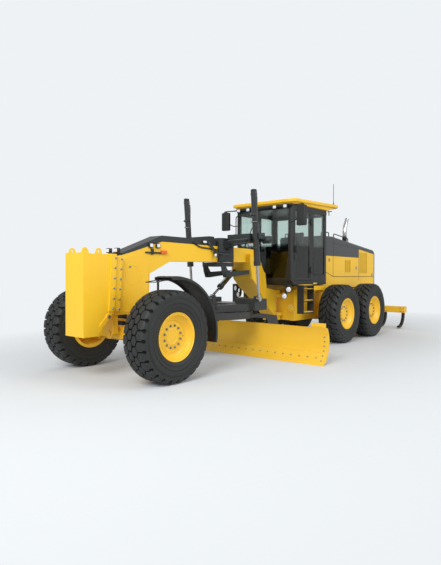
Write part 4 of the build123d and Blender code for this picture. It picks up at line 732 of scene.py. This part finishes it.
def head_pieces():
    """Bolts of the push block's flange, weld seam, tow pin caps, and lamps, markers and pipes along the beam."""
    rows = np.linspace(0, 1, 6)[:, None]
    outer = np.array([0.2505, -0.318, 1.79]) + rows * (0.0, -0.052, -0.75)
    inner = np.array([0.2205, -0.185, 1.775]) + rows * (0.0, -0.056, -0.755)
    spots = np.vstack([outer, inner])
    heads = both(bolt_heads(spots, (1, 0, 0), 0.025, 0.012, washer=0.017))
    piece("push_block_bolts", heads, ZINC, "front_frame")
    weld = moved(hoop([(-0.002, 0.1435), (0.0028, 0.1450), (0.0028, 0.1475), (-0.002, 0.1490)], 64),
                 (0.160, 0.078, 1.537))
    piece("head_weld_seam", both(weld), YELLOW, "front_frame")
    eye = moved(facing(lathe([(0.026, 0), (0.026, 0.012), (0.021, 0.016), (0.010, 0.016)], 28), (1, 0, 0)),
                (0.2455, -0.44, 0.925))
    piece("tow_pin_caps", both(eye), ZINC, "front_frame")
    lamp_pairs("front_frame", (
        ("head_lamp_{}", (0.055, -0.215, 1.875), (0.145, -0.150, 1.950), 1, -1, LENS),
        ("beam_lamp_{}_0", (0.1503, 0.400, 1.975), (0.190, 0.485, 2.055), 0, 1, LENS),
        ("beam_lamp_{}_1", (0.1503, 0.550, 1.975), (0.190, 0.635, 2.055), 0, 1, LENS),
        ("circle_lamp_{}", (0.195, 1.960, 1.870), (0.265, 2.020, 1.945), 1, -1, LENS),
        ("beam_edge_lamp_{}", (0.1503, 1.670, 2.110), (0.190, 1.775, 2.165), 0, 1, LENS)))
    for side, part in sided(rounded_block((0.1503, 0.665, 1.885), (0.185, 0.785, 1.945), 0.008, 0)):
        piece("side_marker_" + side, part, AMBER, "front_frame")
    for side, x0, x1 in (("left", 0.150, 0.172), ("right", -0.172, -0.150)):
        bar = rounded_block((x0, 0.330, 1.886), (x1, 0.660, 1.912), 0.006, 1)
        clip = rounded_block((x0, 0.45, 1.870), (x1 + 0.004, 0.50, 1.965), 0.006, 1)
        piece("marker_wire_duct_" + side, joined(bar, clip), PLASTIC, "front_frame")
    post = swept([(0.100, -0.18, 1.83), (0.100, -0.18, 1.885)], 0.012, 10)
    piece("head_lamp_posts", both(post), PLASTIC, "front_frame", ("front_lamps",))
    strap = swept([(0.160, 1.830, 2.150), (0.205, 1.990, 1.965)], 0.030, 8, flat=0.3)
    valve = swept([(0.215, 2.035, 1.950), (0.215, 2.070, 1.950), (0.215, 2.420, 1.935)], 0.032, 16)
    foot = rounded_block((0.150, 1.990, 1.925), (0.235, 2.100, 1.975), 0.008)
    piece("beam_side_valve", both(joined(strap, valve, foot)), BARREL, "front_frame")
    lines = [swept(bent([(0.160, 2.10, 2.000 + k), (0.160, 1.60, 2.030 + k), (0.160, 1.42, 2.110 + k)], 0.08),
                   0.006, 8) for k in (0.0, 0.018)]
    piece("beam_side_pipes", both(joined(*lines)), HOSE, "front_frame")
    knob = facing(lathe([(0.016, -0.002), (0.016, 0.006), (0.010, 0.010)], 14), (1, 0, 0))
    knob = moved(knob, (0.160, 0.02, 1.665))
    piece("head_side_plugs", both(knob), ZINC, "front_frame")


def cylinder_pieces():
    """Caps, bands, port blocks and pipes of the lift cylinders, and fittings on the saddle."""
    for side, x in (("left", 0.850), ("right", -0.850)):
        cap = moved(lathe([(0.040, -0.002), (0.052, 0.0), (0.056, 0.010), (0.056, 0.028), (0.044, 0.036)], 32),
                    (x, 2.2974, 3.060))
        bands = [moved(collar([(0.0578, 0), (0.0625, 0.004), (0.0625, 0.030), (0.0578, 0.034)]), (x, y, z))
                 for y, z in ((2.3022, 2.02), (2.3022, 2.62))]
        port = rounded_block((x - 0.018, 2.37, 2.92), (x + 0.018, 2.395, 2.98), 0.006)
        pipe = swept(bent([(x, 2.39, 2.95), (x, 2.402, 2.90), (x, 2.398, 2.42), (x, 2.388, 2.36)], 0.03), 0.011, 8)
        piece("lift_cylinder_trim_" + side, joined(cap, *bands, port, pipe), BARREL, "lift_barrel_" + side)
        ring = moved(collar([(0.0578, 0), (0.0605, 0.002), (0.0605, 0.010), (0.0578, 0.012)]), (x, 2.315, 2.50))
        piece("lift_cylinder_ring_" + side, ring, ZINC, "lift_barrel_" + side)
    drum = facing(lathe([(0.030, -0.002), (0.060, 0.0), (0.072, 0.012), (0.072, 0.150), (0.064, 0.165),
                         (0.034, 0.172), (0.030, 0.190), (0.012, 0.192)], 36), (1, 0, 0))
    drum = moved(drum, (0.865, 2.580, 2.190))
    seat = rounded_block((0.780, 2.485, 2.150), (0.900, 2.560, 2.235), 0.012)
    piece("saddle_side_drums", both(joined(drum, seat)), GRAPHITE, "front_frame")
    arms = [swept(bent([(0.23, 2.30, 2.02), (0.42, 2.20, 2.09), (0.70, 2.28, 2.13)], 0.1), 0.022, 10),
            swept(bent([(0.24, 2.18, 2.12), (0.46, 2.10, 2.17), (0.74, 2.27, 2.20)], 0.1), 0.014, 10)]
    piece("saddle_brace_tubes", both(joined(*arms)), GRAPHITE, "front_frame")
    dish = moved(facing(lathe([(0.085, 0.0), (0.090, 0.006), (0.086, 0.016), (0.050, 0.030), (0.015, 0.034)], 32),
                        (0.2, 1, 0)), (0.30, 2.44, 2.23))
    stalk = swept([(0.30, 2.445, 2.235), (0.27, 2.42, 2.13)], 0.010, 8)
    piece("circle_view_mirror", joined(dish, stalk), PLASTIC, "front_frame")


def blade_bolts():
    """Carriage bolts along the cutting edge and in a column on each end bit; heads face along the surface."""
    axis_y, axis_z, radius = CIRCLE_Y + 0.142, 0.378, 0.4395
    rows = [(0.110, np.linspace(-1.95, 1.95, 24))] + [(z, (2.06, -2.06)) for z in
                                                      (0.07, 0.15, 0.23, 0.31, 0.39, 0.47)]
    shapes = []
    for z, xs in rows:
        drop = math.asin((z - axis_z) / radius)
        normal = np.array([0, -math.cos(drop), -math.sin(drop)])
        spot = np.array([0, axis_y + radius * math.cos(drop), z])
        shapes.append(bolt_heads(np.array([(x, 0, 0) for x in xs]) + spot, normal, 0.026, 0.007))
    piece("cutting_edge_bolts", joined(*shapes), ZINC, "blade")


def circle_pieces():
    """Bolts on the circle, clear of the drawbar's rear beam, and the cover of its drive motor with bolts."""
    x, y = around(16, 0.700, 0.2)
    spots = np.stack([x, CIRCLE_Y + y, np.full(16, 0.8602)], -1)[np.abs(y - 0.45) > 0.22]
    piece("circle_ring_bolts", bolt_heads(spots, (0, 0, 1), 0.030, 0.006), ZINC, "circle")
    drive_y = CIRCLE_Y - 0.670
    cover = moved(lathe([(0.075, 0), (0.082, 0.006), (0.082, 0.030), (0.070, 0.042), (0.030, 0.046)], 40),
                  (0.0, drive_y, 1.240))
    ring = moved(lathe([(0.118, 0), (0.128, 0.005), (0.128, 0.022), (0.118, 0.027)], 48), (0, drive_y, 1.090))
    x, y = around(8, 0.100)
    spots = np.stack([x, drive_y + y, np.full(8, 1.1202)], -1)
    piece("circle_drive_cover", joined(cover, ring), GRAPHITE, "drawbar")
    piece("circle_drive_bolts", bolt_heads(spots, (0, 0, 1), 0.024, 0.010), ZINC, "drawbar")


def cab_pieces():
    """What hangs on the cab's front and sides, under its roof and inside it."""
    for row, x in enumerate((-0.610, -0.350, 0.350, 0.610)):
        lamp(f"roof_lamp_{row}", (x - 0.052, CAB_FRONT - 0.092, 2.930), (x + 0.052, CAB_FRONT - 0.030, 3.019),
             1, -1, "rear_frame")
    for row, x in enumerate((-0.60, 0.60)):
        lamp(f"rear_work_lamp_{row}", (x - 0.045, CAB_REAR + 0.10, 2.945), (x + 0.045, CAB_REAR + 0.16, 3.018),
             1, 1, "rear_frame")
    feet = [rounded_block((x - 0.02, CAB_FRONT - 0.055, 2.945), (x + 0.02, CAB_FRONT + 0.002, 3.005), 0.006)
            for x in (-0.610, -0.350, 0.350, 0.610)]
    piece("roof_lamp_feet", joined(*feet), PLASTIC, "rear_frame", ("work_lamps",))
    mirror = rounded_block((0.905, CAB_FRONT - 0.0295, 2.567), (1.085, CAB_FRONT - 0.0265, 2.943), 0.0012, 1)
    piece("mirror_glasses", both(mirror), MIRROR, "rear_frame")
    shell = rounded_block((0.898, CAB_FRONT - 0.092, 2.560), (1.092, CAB_FRONT - 0.060, 2.950), 0.03, 1)
    clamp = rounded_block((0.975, CAB_FRONT - 0.078, 2.93), (1.015, CAB_FRONT - 0.038, 2.985), 0.006)
    piece("mirror_backs", both(joined(shell, clamp)), PLASTIC, "rear_frame")
    arm = swept(bent([(-0.16, CAB_FRONT - 0.012, 1.585), (-0.10, CAB_FRONT - 0.022, 1.62),
                      (-0.42, CAB_FRONT - 0.024, 2.28)], 0.03), 0.008, 8)
    strip = swept([(-0.56, CAB_FRONT - 0.018, 1.98), (-0.28, CAB_FRONT - 0.018, 2.58)], 0.009, 8, flat=1.4)
    motor = rounded_block((-0.20, CAB_FRONT - 0.03, 1.51), (-0.10, CAB_FRONT + 0.004, 1.60), 0.012)
    piece("windscreen_wiper", joined(arm, strip, motor), PLASTIC, "rear_frame")
    duct = rounded_block((-0.56, CAB_FRONT - 0.075, 2.965), (0.56, CAB_FRONT + 0.001, 3.0195), 0.012, 0)
    piece("roof_front_duct", duct, PLASTIC, "rear_frame")
    beacon = moved(lathe([(0.036, -0.087), (0.0385, -0.080), (0.0385, -0.010), (0.036, 0.0)], 32),
                   (0.760, CAB_REAR + 0.080, 3.010))
    piece("beacon_lens", beacon, LENS, "rear_frame")
    base = moved(lathe([(0.020, 0.0), (0.020, 0.030), (0.012, 0.045), (0.009, 0.075), (0.007, 0.08)], 20),
                 (0.700, CAB_REAR + 0.380, 3.192))
    piece("aerial_spring_base", base, PLASTIC, "rear_frame")
    pads = rounded_block((0.7305, 4.70, 1.337), (0.7345, 4.86, 1.368), 0.0015, 0)
    piece("door_side_reflectors", both(pads), YELLOW_LENS, "rear_frame")
    seal = bent([(0.7295, y, z) for y, z in ((4.950, 1.550), (5.210, 1.550), (5.210, 2.910), (4.690, 2.910),
                                             (4.690, 1.550), (4.949, 1.550))], 0.05)
    piece("side_window_seals", both(swept(seal, 0.010, 8)), HOSE, "rear_frame")
    handle = bent([(0.742, 3.935, 2.02), (0.772, 3.935, 2.02), (0.772, 3.935, 2.30), (0.742, 3.935, 2.30)], 0.03)
    plate = rounded_block((0.7302, 3.900, 1.86), (0.748, 3.965, 1.965), 0.008, 0)
    for side, part in sided(joined(swept(handle, 0.010, 10), plate)):
        piece("door_handle_" + side, part, PLASTIC, "door_" + side)
    strap = bent([(0.30, 4.66, 2.50), (0.285, 4.60, 2.40), (0.12, 4.62, 2.08), (-0.20, 4.66, 1.99)], 0.10, 9)
    piece("seat_belt", swept(strap, 0.024, 8, flat=0.14), WEBBING, "rear_frame")
    rail = bent([(-0.600, y, z) for y, z in ((3.800, 2.840), (3.612, 2.840), (3.612, 2.400), (3.800, 2.400))],
                0.06)
    piece("screen_hand_rail", swept(rail, 0.011, 10), PLASTIC, "rear_frame")
    loop = swept(bent([(0.690, 3.790, 2.985), (0.965, 3.742, 2.990), (1.050, 3.742, 2.985), (1.052, 3.742, 2.900)],
                      0.05), 0.012, 10)
    stay = swept(bent([(0.700, 3.800, 2.640), (0.800, 3.745, 2.640), (0.900, 3.742, 2.700)], 0.05), 0.010, 10)
    piece("mirror_loops", both(joined(loop, stay)), PLASTIC, "rear_frame")
    drum = facing(lathe([(0.030, -0.03), (0.052, -0.02), (0.058, 0.030), (0.058, 0.036)], 28), (0.35, -1, 0))
    eye = facing(lathe([(0.051, 0.034), (0.051, 0.038), (0.030, 0.043), (0.012, 0.045)], 28), (0.35, -1, 0))
    drums, eyes = (joined(*[moved(part, spot) for spot in ((0.690, 3.760, 1.240), (0.600, 3.740, 1.100))])
                   for part in (drum, eye))
    piece("ladder_spot_housings", both(drums), PLASTIC, "rear_frame")
    piece("ladder_spot_lenses", both(eyes), LENS, "rear_frame")
    lower = joined(rounded_block((0.655, 3.735, 1.240), (0.725, 3.800, 1.335), 0.010),
                   rounded_block((0.585, 3.755, 1.100), (0.615, 3.815, 1.335), 0.008))
    piece("ladder_spot_feet", both(lower), PLASTIC, "rear_frame")
    screen = rounded_block((0.34, 3.98, 1.86), (0.56, 4.03, 2.03), 0.012, 1)
    dash = rounded_block((-0.20, 3.95, 1.98), (0.20, 4.06, 2.06), 0.02, 0)
    knob = lathe([(0.008, 0.0), (0.008, 0.075), (0.017, 0.085), (0.017, 0.120), (0.008, 0.130)], 14)
    knobs = joined(*[moved(knob, (x, y, 2.075)) for x in (-0.41, -0.36, 0.36, 0.41) for y in (4.56, 4.64, 4.72)])
    stand = swept([(0.45, 4.01, 1.42), (0.45, 4.01, 1.88)], 0.018, 10)
    piece("monitor_and_dash", joined(screen, dash, stand), PLASTIC, "rear_frame")
    piece("control_levers", knobs, PLASTIC, "rear_frame")


def roof_pieces():
    """Cab roof: a thin crowned cap over a narrower body whose rear end slopes up to the cap's edge.

    The plan is a rounded outline. Every ring is that outline, scaled about its middle by a share less an
    inset, and follows the roof's top line at a drop below it. The body's rings are also shortened from
    the rear, each by its own length share, and blend from a level bottom to the top line."""
    corner = np.array([(0.71, 3.681), (0.83, 3.79), (0.83, 5.70), (0.74, 5.779)])
    loop = np.vstack([[(0, 3.681)], corner, corner[::-1] * (-1, 1), [(0, 3.681)]])
    plan = bent(loop, 0.05, 6)[:-1]
    centre, reach = np.array([0.0, 4.730]), np.array([0.83, 1.049])

    def ring(share, inset, drop, length=1.0, level=None, blend=0.0):
        flat = centre + (plan - centre) * (share - inset / reach)
        flat[:, 1] = 3.681 + (flat[:, 1] - 3.681) * length
        top = np.interp(flat[:, 1], (3.690, 4.250, 5.300, 5.770), (3.120, 3.175, 3.200, 3.190)) - drop
        height = top if level is None else level + (top - level) * blend
        return np.column_stack([flat, height])

    cap = capped(np.array([ring(0.05, 0.0, 0.078), ring(1.0, 0.022, 0.078), ring(1.0, 0.006, 0.070),
                           ring(1.0, 0.0, 0.056), ring(1.0, 0.0, 0.022), ring(1.0, 0.010, 0.006),
                           ring(1.0, 0.032, 0.0), ring(0.64, 0.0, 0.0), ring(0.625, 0.0, 0.008),
                           ring(0.05, 0.0, 0.008)]))
    body = capped(np.array([ring(1.0, 0.075, 0.06, 0.835, 3.0203), ring(1.0, 0.058, 0.06, 0.845, 3.030),
                            ring(1.0, 0.048, 0.06, 0.910, 3.030, 0.5), ring(1.0, 0.045, 0.06, 0.972)]))
    piece("crowned_roof", joined(cap, body), YELLOW, "rear_frame", ("cab_roof",), 30.0)


def stack_pieces():
    """Exhaust: dark base out of the hood and a bright pipe that leans back, with a dark bore at its end."""
    base = moved(lathe([(0.050, 2.181), (0.064, 2.184), (0.064, 2.600), (0.060, 2.612), (0.054, 2.616)], 40),
                 (0, 7.750, 0))
    path = bent([(0, 7.750, 2.560), (0, 7.750, 2.860), (0, 7.885, 3.125)], 0.15, 9)
    band = moved(lathe([(0.056, 2.640), (0.0605, 2.644), (0.0605, 2.668), (0.056, 2.672)], 40), (0, 7.750, 0))
    ahead = (path[-1] - path[-2]) / np.linalg.norm(path[-1] - path[-2])
    bore = swept([path[-1] - 0.02 * ahead, path[-1] + 0.0006 * ahead], 0.0505, 28)
    piece("stack_pipe", joined(base, band, swept(path, 0.056, 28)), STACK, "rear_frame", ("exhaust_stack",))
    piece("stack_bore", bore, IRON, "rear_frame")


def hinge_pieces():
    """Round bolted cover on each side of the frame's hinge, under the cab's front."""
    cover = lathe([(0.080, -0.120), (0.080, 0.0), (0.092, 0.004), (0.092, 0.020), (0.060, 0.026), (0.056, 0.034),
                   (0.030, 0.040)], 44)
    spots = np.stack([*around(8, 0.076, 0.3), np.full(8, 0.0215)], -1)
    heads = joined(*[moved(lathe([(0.010, 0.0), (0.010, 0.008), (0.006, 0.011)], 8), spot) for spot in spots])
    way = (0.55, -1.0, 0.0)
    spot = (0.337, 4.420, 0.795)
    piece("hinge_covers", both(moved(facing(cover, way), spot)), YELLOW, "rear_frame")
    piece("hinge_cover_bolts", both(moved(facing(heads, way), spot)), ZINC, "rear_frame")


def hood_pieces():
    """Latches, hinges, filler cap, tail lamps and rail feet on and round the hood."""
    latches = [rounded_block((0.6002, y, z), (0.6082, y + 0.055, z + 0.075), 0.006, 0)
               for y, z in ((5.66, 1.865), (7.17, 1.69), (8.20, 1.52))]
    piece("hood_latches", both(joined(*latches)), ZINC, "rear_frame")
    hinges = [rounded_block((0.597, y, z), (0.608, y + 0.09, z + 0.028), 0.005, 0)
              for y, z in ((5.98, 1.955), (6.95, 1.955), (7.45, 1.46), (8.15, 1.46))]
    piece("hood_hinges", both(joined(*hinges)), YELLOW, "rear_frame")
    cap = moved(lathe([(0.070, -0.01), (0.070, 0.012), (0.062, 0.020), (0.030, 0.022)], 36), (0.30, 6.40, 2.425))
    piece("filler_cap", cap, PLASTIC, "rear_frame")
    lamp_pairs("rear_frame", (
        ("tail_lamp_{}", (0.47, 8.385, 1.335), (0.57, 8.418, 1.395), 1, 1, RED),
        ("reversing_lamp_{}", (0.48, 8.385, 1.62), (0.575, 8.425, 1.71), 1, 1, LENS)))
    feet = [moved(lathe([(0.024, -0.001), (0.024, 0.006), (0.016, 0.010)], 20), (0.500, y, z))
            for y, z in ((5.48, 2.4735), (5.85, 2.4775), (6.10, 2.4745), (6.90, 2.3985))]
    piece("rail_feet", both(joined(*feet)), BLACK, "rear_frame")


def ladder_pieces():
    """Punched treads: a plate with four rows of raised buttons and an outer lip on each ladder step."""
    shapes = []
    for z in (0.764, 1.008, 1.252, 1.3297):
        plate = rounded_block((0.795, 3.945, z + 0.0002), (0.936, 4.335, z + 0.005), 0.002)
        x, y = np.meshgrid(np.linspace(0.820, 0.912, 4), np.linspace(3.97, 4.31, 11))
        button = lathe([(0.010, 0.0), (0.008, 0.0045), (0.004, 0.0045)], 8)
        buttons = [moved(button, (a, b, z + 0.0045)) for a, b in zip(x.ravel(), y.ravel())]
        lip = rounded_block((0.9362, 3.946, z - 0.026), (0.9395, 4.334, z + 0.005), 0.0015, 1)
        shapes += [plate, lip] + buttons
    piece("ladder_treads", both(joined(*shapes)), YELLOW, "rear_frame")


def ripper_pieces():
    """Forged tips on the shanks, and their clamp plates with bolts at the beam."""
    rows = (-1.050, -0.525, 0.0, 0.525, 1.050)
    tips = [rounded_block((x - 0.040, 9.045, 0.032), (x + 0.040, 9.180, 0.082), 0.010, 1) for x in rows]
    piece("ripper_tips", joined(*tips), IRON, "ripper")
    holders = [rounded_block((x - 0.060, 9.352, 0.452), (x + 0.060, 9.358, 0.608), 0.002, 1) for x in rows]
    piece("shank_clamp_plates", joined(*holders), YELLOW, "ripper")
    spots = [(x + dx, 9.350, z) for x in rows for dx in (-0.04, 0.04) for z in (0.48, 0.58)]
    piece("shank_clamp_bolts", bolt_heads(spots, (0, -1, 0), 0.024, 0.012), ZINC, "ripper")


def route_curve(name, points):
    """Curve of one smooth open spline whose control points are the route."""
    curve = bpy.data.curves.new(name, "CURVE")
    curve.dimensions = "3D"
    spline = curve.splines.new("NURBS")
    spline.points.add(len(points) - 1)
    spline.points.foreach_set("co", np.hstack([points, np.ones((len(points), 1))]).ravel())
    spline.order_u = 3
    spline.use_endpoint_u = True
    return curve


def hose(name, route, diameter, body):
    """Hydraulic hose from one fitting to another; its length is measured along a bare copy of its line."""
    points = np.array(route, float) + (0, AXLE_Y, 0)
    curve = route_curve(name, points)
    curve.bevel_depth = diameter / 2
    curve.bevel_resolution = 3
    curve.resolution_u = 8
    curve.use_fill_caps = True
    curve.materials.append(HOSE)
    made = placed(name, curve)
    bpy.context.view_layer.update()
    line = route_curve(name + "_line", points)
    line.resolution_u = 12
    probe = bpy.data.objects.new(name + "_line", line)
    mesh = bpy.data.meshes.new_from_object(probe)
    length = float(np.linalg.norm(np.diff(places_of(mesh), axis=0), axis=1).sum())
    bpy.data.objects.remove(probe)
    bpy.data.curves.remove(line)
    bpy.data.meshes.remove(mesh)
    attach(made, body)


def hoses():
    """Short hydraulic hoses: one over the frame's pivot and one on each side of the saddle."""
    hose("pivot_hose_upper", ((0.28, 4.42, 1.15), (0.30, 4.34, 1.16), (0.34, 4.20, 1.22), (0.38, 4.12, 1.28),
                              (0.38, 4.10, 1.335)), 0.026, "rear_frame")
    saddle = np.array([(0.20, 2.48, 2.16), (0.22, 2.54, 2.17), (0.30, 2.60, 2.10), (0.42, 2.58, 2.06),
                       (0.52, 2.50, 2.12), (0.56, 2.47, 2.16)])
    hose("saddle_hose_left", saddle, 0.024, "front_frame")
    hose("saddle_hose_right", saddle * (-1, 1, 1), 0.024, "front_frame")


def padded_seat():
    """Cushion and backrest as crowned pads, remeshed to even faces and inflated by a cloth simulation."""
    y = CAB_FRONT + 0.760
    cushion = rounded_block((-0.235, y + 0.020, 1.838), (0.235, y + 0.475, 1.942), 0.045)
    back = rounded_block((-0.225, -0.045, 0.0), (0.225, 0.045, 0.640), 0.042)
    tilt = math.atan2(0.09, 0.66)
    c, s = math.cos(tilt), math.sin(tilt)
    turned = back[0] @ np.array([(1, 0, 0), (0, c, -s), (0, s, c)])
    back = moved((turned, back[1]), (0, y + 0.507, 1.920))
    for name, shape in (("seat_cushion", cushion), ("seat_backrest", back)):
        made = piece(name, shape, CLOTH, "rear_frame", ("seat",))
        remesh = made.modifiers.new("even_faces", "REMESH")
        remesh.mode = "VOXEL"
        remesh.voxel_size = 0.006
        settle(made, "even_faces")
        inflate(made)


def settle(made, name):
    """Applies a modifier by taking the evaluated mesh as the piece's own."""
    graph = bpy.context.evaluated_depsgraph_get()
    mesh = bpy.data.meshes.new_from_object(made.evaluated_get(graph))
    made.modifiers.remove(made.modifiers[name])
    made.data = mesh
    mesh.polygons.foreach_set("use_smooth", np.ones(len(mesh.polygons), bool))


def inflate(made):
    """Cloth under inner pressure for 20 frames; each point's move is capped at 12 mm."""
    before = places_of(made.data)
    cloth = made.modifiers.new("pressure", "CLOTH")
    cloth.settings.use_pressure = True
    cloth.settings.uniform_pressure_force = 4.0
    cloth.settings.effector_weights.gravity = 0.0
    cloth.point_cache.frame_start = 1
    cloth.point_cache.frame_end = 20
    for step in range(1, 21):
        bpy.context.scene.frame_set(step)
    settle(made, "pressure")
    move = places_of(made.data) - before
    far = np.linalg.norm(move, axis=1, keepdims=True)
    move *= np.minimum(1.0, 0.012 / np.maximum(far, 1e-9))
    made.data.vertices.foreach_set("co", (before + move).ravel())
    bpy.context.scene.frame_set(1)
    finer = made.modifiers.new("finer", "SUBSURF")
    finer.levels = 1
    finer.render_levels = 1


def mix_shaders(tree, kind, factor, first, second):
    """Output node of a kind, fed by two shaders mixed with the factor."""
    mix = add(tree, "ShaderNodeMixShader")
    for source, socket in zip((factor, first.outputs[0], second.outputs[0]), mix.inputs):
        tree.links.new(source, socket)
    tree.links.new(mix.outputs[0], add(tree, kind).inputs["Surface"])


def studio():
    """Pale floor that fades into the page, soft key from the machine's front left, even fill from the world."""
    world = bpy.data.worlds.new("studio")
    bpy.context.scene.world = world
    world.use_nodes = True
    tree = world.node_tree
    tree.nodes.clear()
    path = add(tree, "ShaderNodeLightPath")
    seen = sum_up(tree, "MAXIMUM", path.outputs["Is Camera Ray"], path.outputs["Is Transmission Ray"])
    fill = add(tree, "ShaderNodeBackground", {"Color": linear("#FFFFFF"), "Strength": 0.60})
    page = add(tree, "ShaderNodeBackground", {"Color": linear("#EEF2F5"), "Strength": 1.0})
    mix_shaders(tree, "ShaderNodeOutputWorld", seen, fill, page)

    mesh = bpy.data.meshes.new("floor")
    size = 16.0
    mesh.from_pydata([(-size, -size, 0), (size, -size, 0), (size, size, 0), (-size, size, 0)], [], [(0, 1, 2, 3)])
    floor = placed("floor", mesh)
    mat = bpy.data.materials.new("pale_floor")
    mat.use_nodes = True
    tree = mat.node_tree
    tree.nodes.clear()
    matte = add(tree, "ShaderNodeBsdfDiffuse", {"Color": linear("#D3D7DA")})
    clear = add(tree, "ShaderNodeBsdfTransparent")
    coords = add(tree, "ShaderNodeTexCoord")
    squashed = add(tree, "ShaderNodeVectorMath", {"operation": "MULTIPLY"})
    tree.links.new(coords.outputs["Object"], squashed.inputs[0])
    squashed.inputs[1].default_value = (1.0, 0.55, 1.0)  # the pale patch is long, as the machine is
    reach = add(tree, "ShaderNodeVectorMath", {"operation": "LENGTH"})
    tree.links.new(squashed.outputs[0], reach.inputs[0])
    fade = add(tree, "ShaderNodeMapRange", {"From Min": 2.6, "From Max": 6.5}, Value=reach.outputs["Value"])
    mix_shaders(tree, "ShaderNodeOutputMaterial", fade.outputs["Result"], matte, clear)
    mesh.materials.append(mat)

    for name, spot, aim, size, power in (
        ("key", (4.0, -13.0, 8.0), (0, -2, 1), 6.0, 1120.0),
        ("side", (12.0, 1.0, 8.0), (0, 0, 1), 7.0, 680.0),
        ("back", (-9.0, 9.0, 10.0), (0, 0, 1), 7.0, 300.0),
    ):
        light = bpy.data.lights.new(name, "AREA")
        light.energy = power
        light.size = size
        holder = placed(name, light)
        holder.location = spot
        gap = np.array(aim) - np.array(spot)
        yaw = math.atan2(gap[1], gap[0])
        drop = math.atan2(math.hypot(gap[0], gap[1]), -gap[2])
        holder.rotation_euler = (drop, 0, yaw - math.pi / 2)


def photo_camera():
    """Camera at the photograph's place: its three axes come from its yaw, pitch and roll."""
    yaw, pitch, roll = (math.radians(a) for a in (49.72, -0.96, 0.14))
    ahead = np.array([-math.cos(yaw) * math.cos(pitch), math.sin(yaw) * math.cos(pitch), math.sin(pitch)])
    right = np.array([math.sin(yaw), math.cos(yaw), 0.0])
    up = np.cross(right, ahead)
    right_rolled = math.cos(roll) * right + math.sin(roll) * up
    up_rolled = -math.sin(roll) * right + math.cos(roll) * up
    camera = bpy.data.cameras.new("photo_camera")
    camera.sensor_width = 36.0
    camera.lens = 476.12 / 565 * 36.0
    camera.clip_end = 200.0
    holder = placed("photo_camera", camera)
    turn = np.eye(4)
    turn[:3, 0] = right_rolled
    turn[:3, 1] = up_rolled
    turn[:3, 2] = -ahead
    turn[:3, 3] = (5.995, AXLE_Y - 4.699, 1.547)
    holder.matrix_world = Matrix([list(row) for row in turn])
    bpy.context.scene.camera = holder


studio()
photo_camera()
hoses()
wheel_pieces()
head_pieces()
fender_pieces()
cylinder_pieces()
blade_bolts()
circle_pieces()
cab_pieces()
hood_pieces()
roof_pieces()
stack_pieces()
hinge_pieces()
ladder_pieces()
ripper_pieces()
padded_seat()

bpy.context.scene.view_settings.view_transform = "Standard"
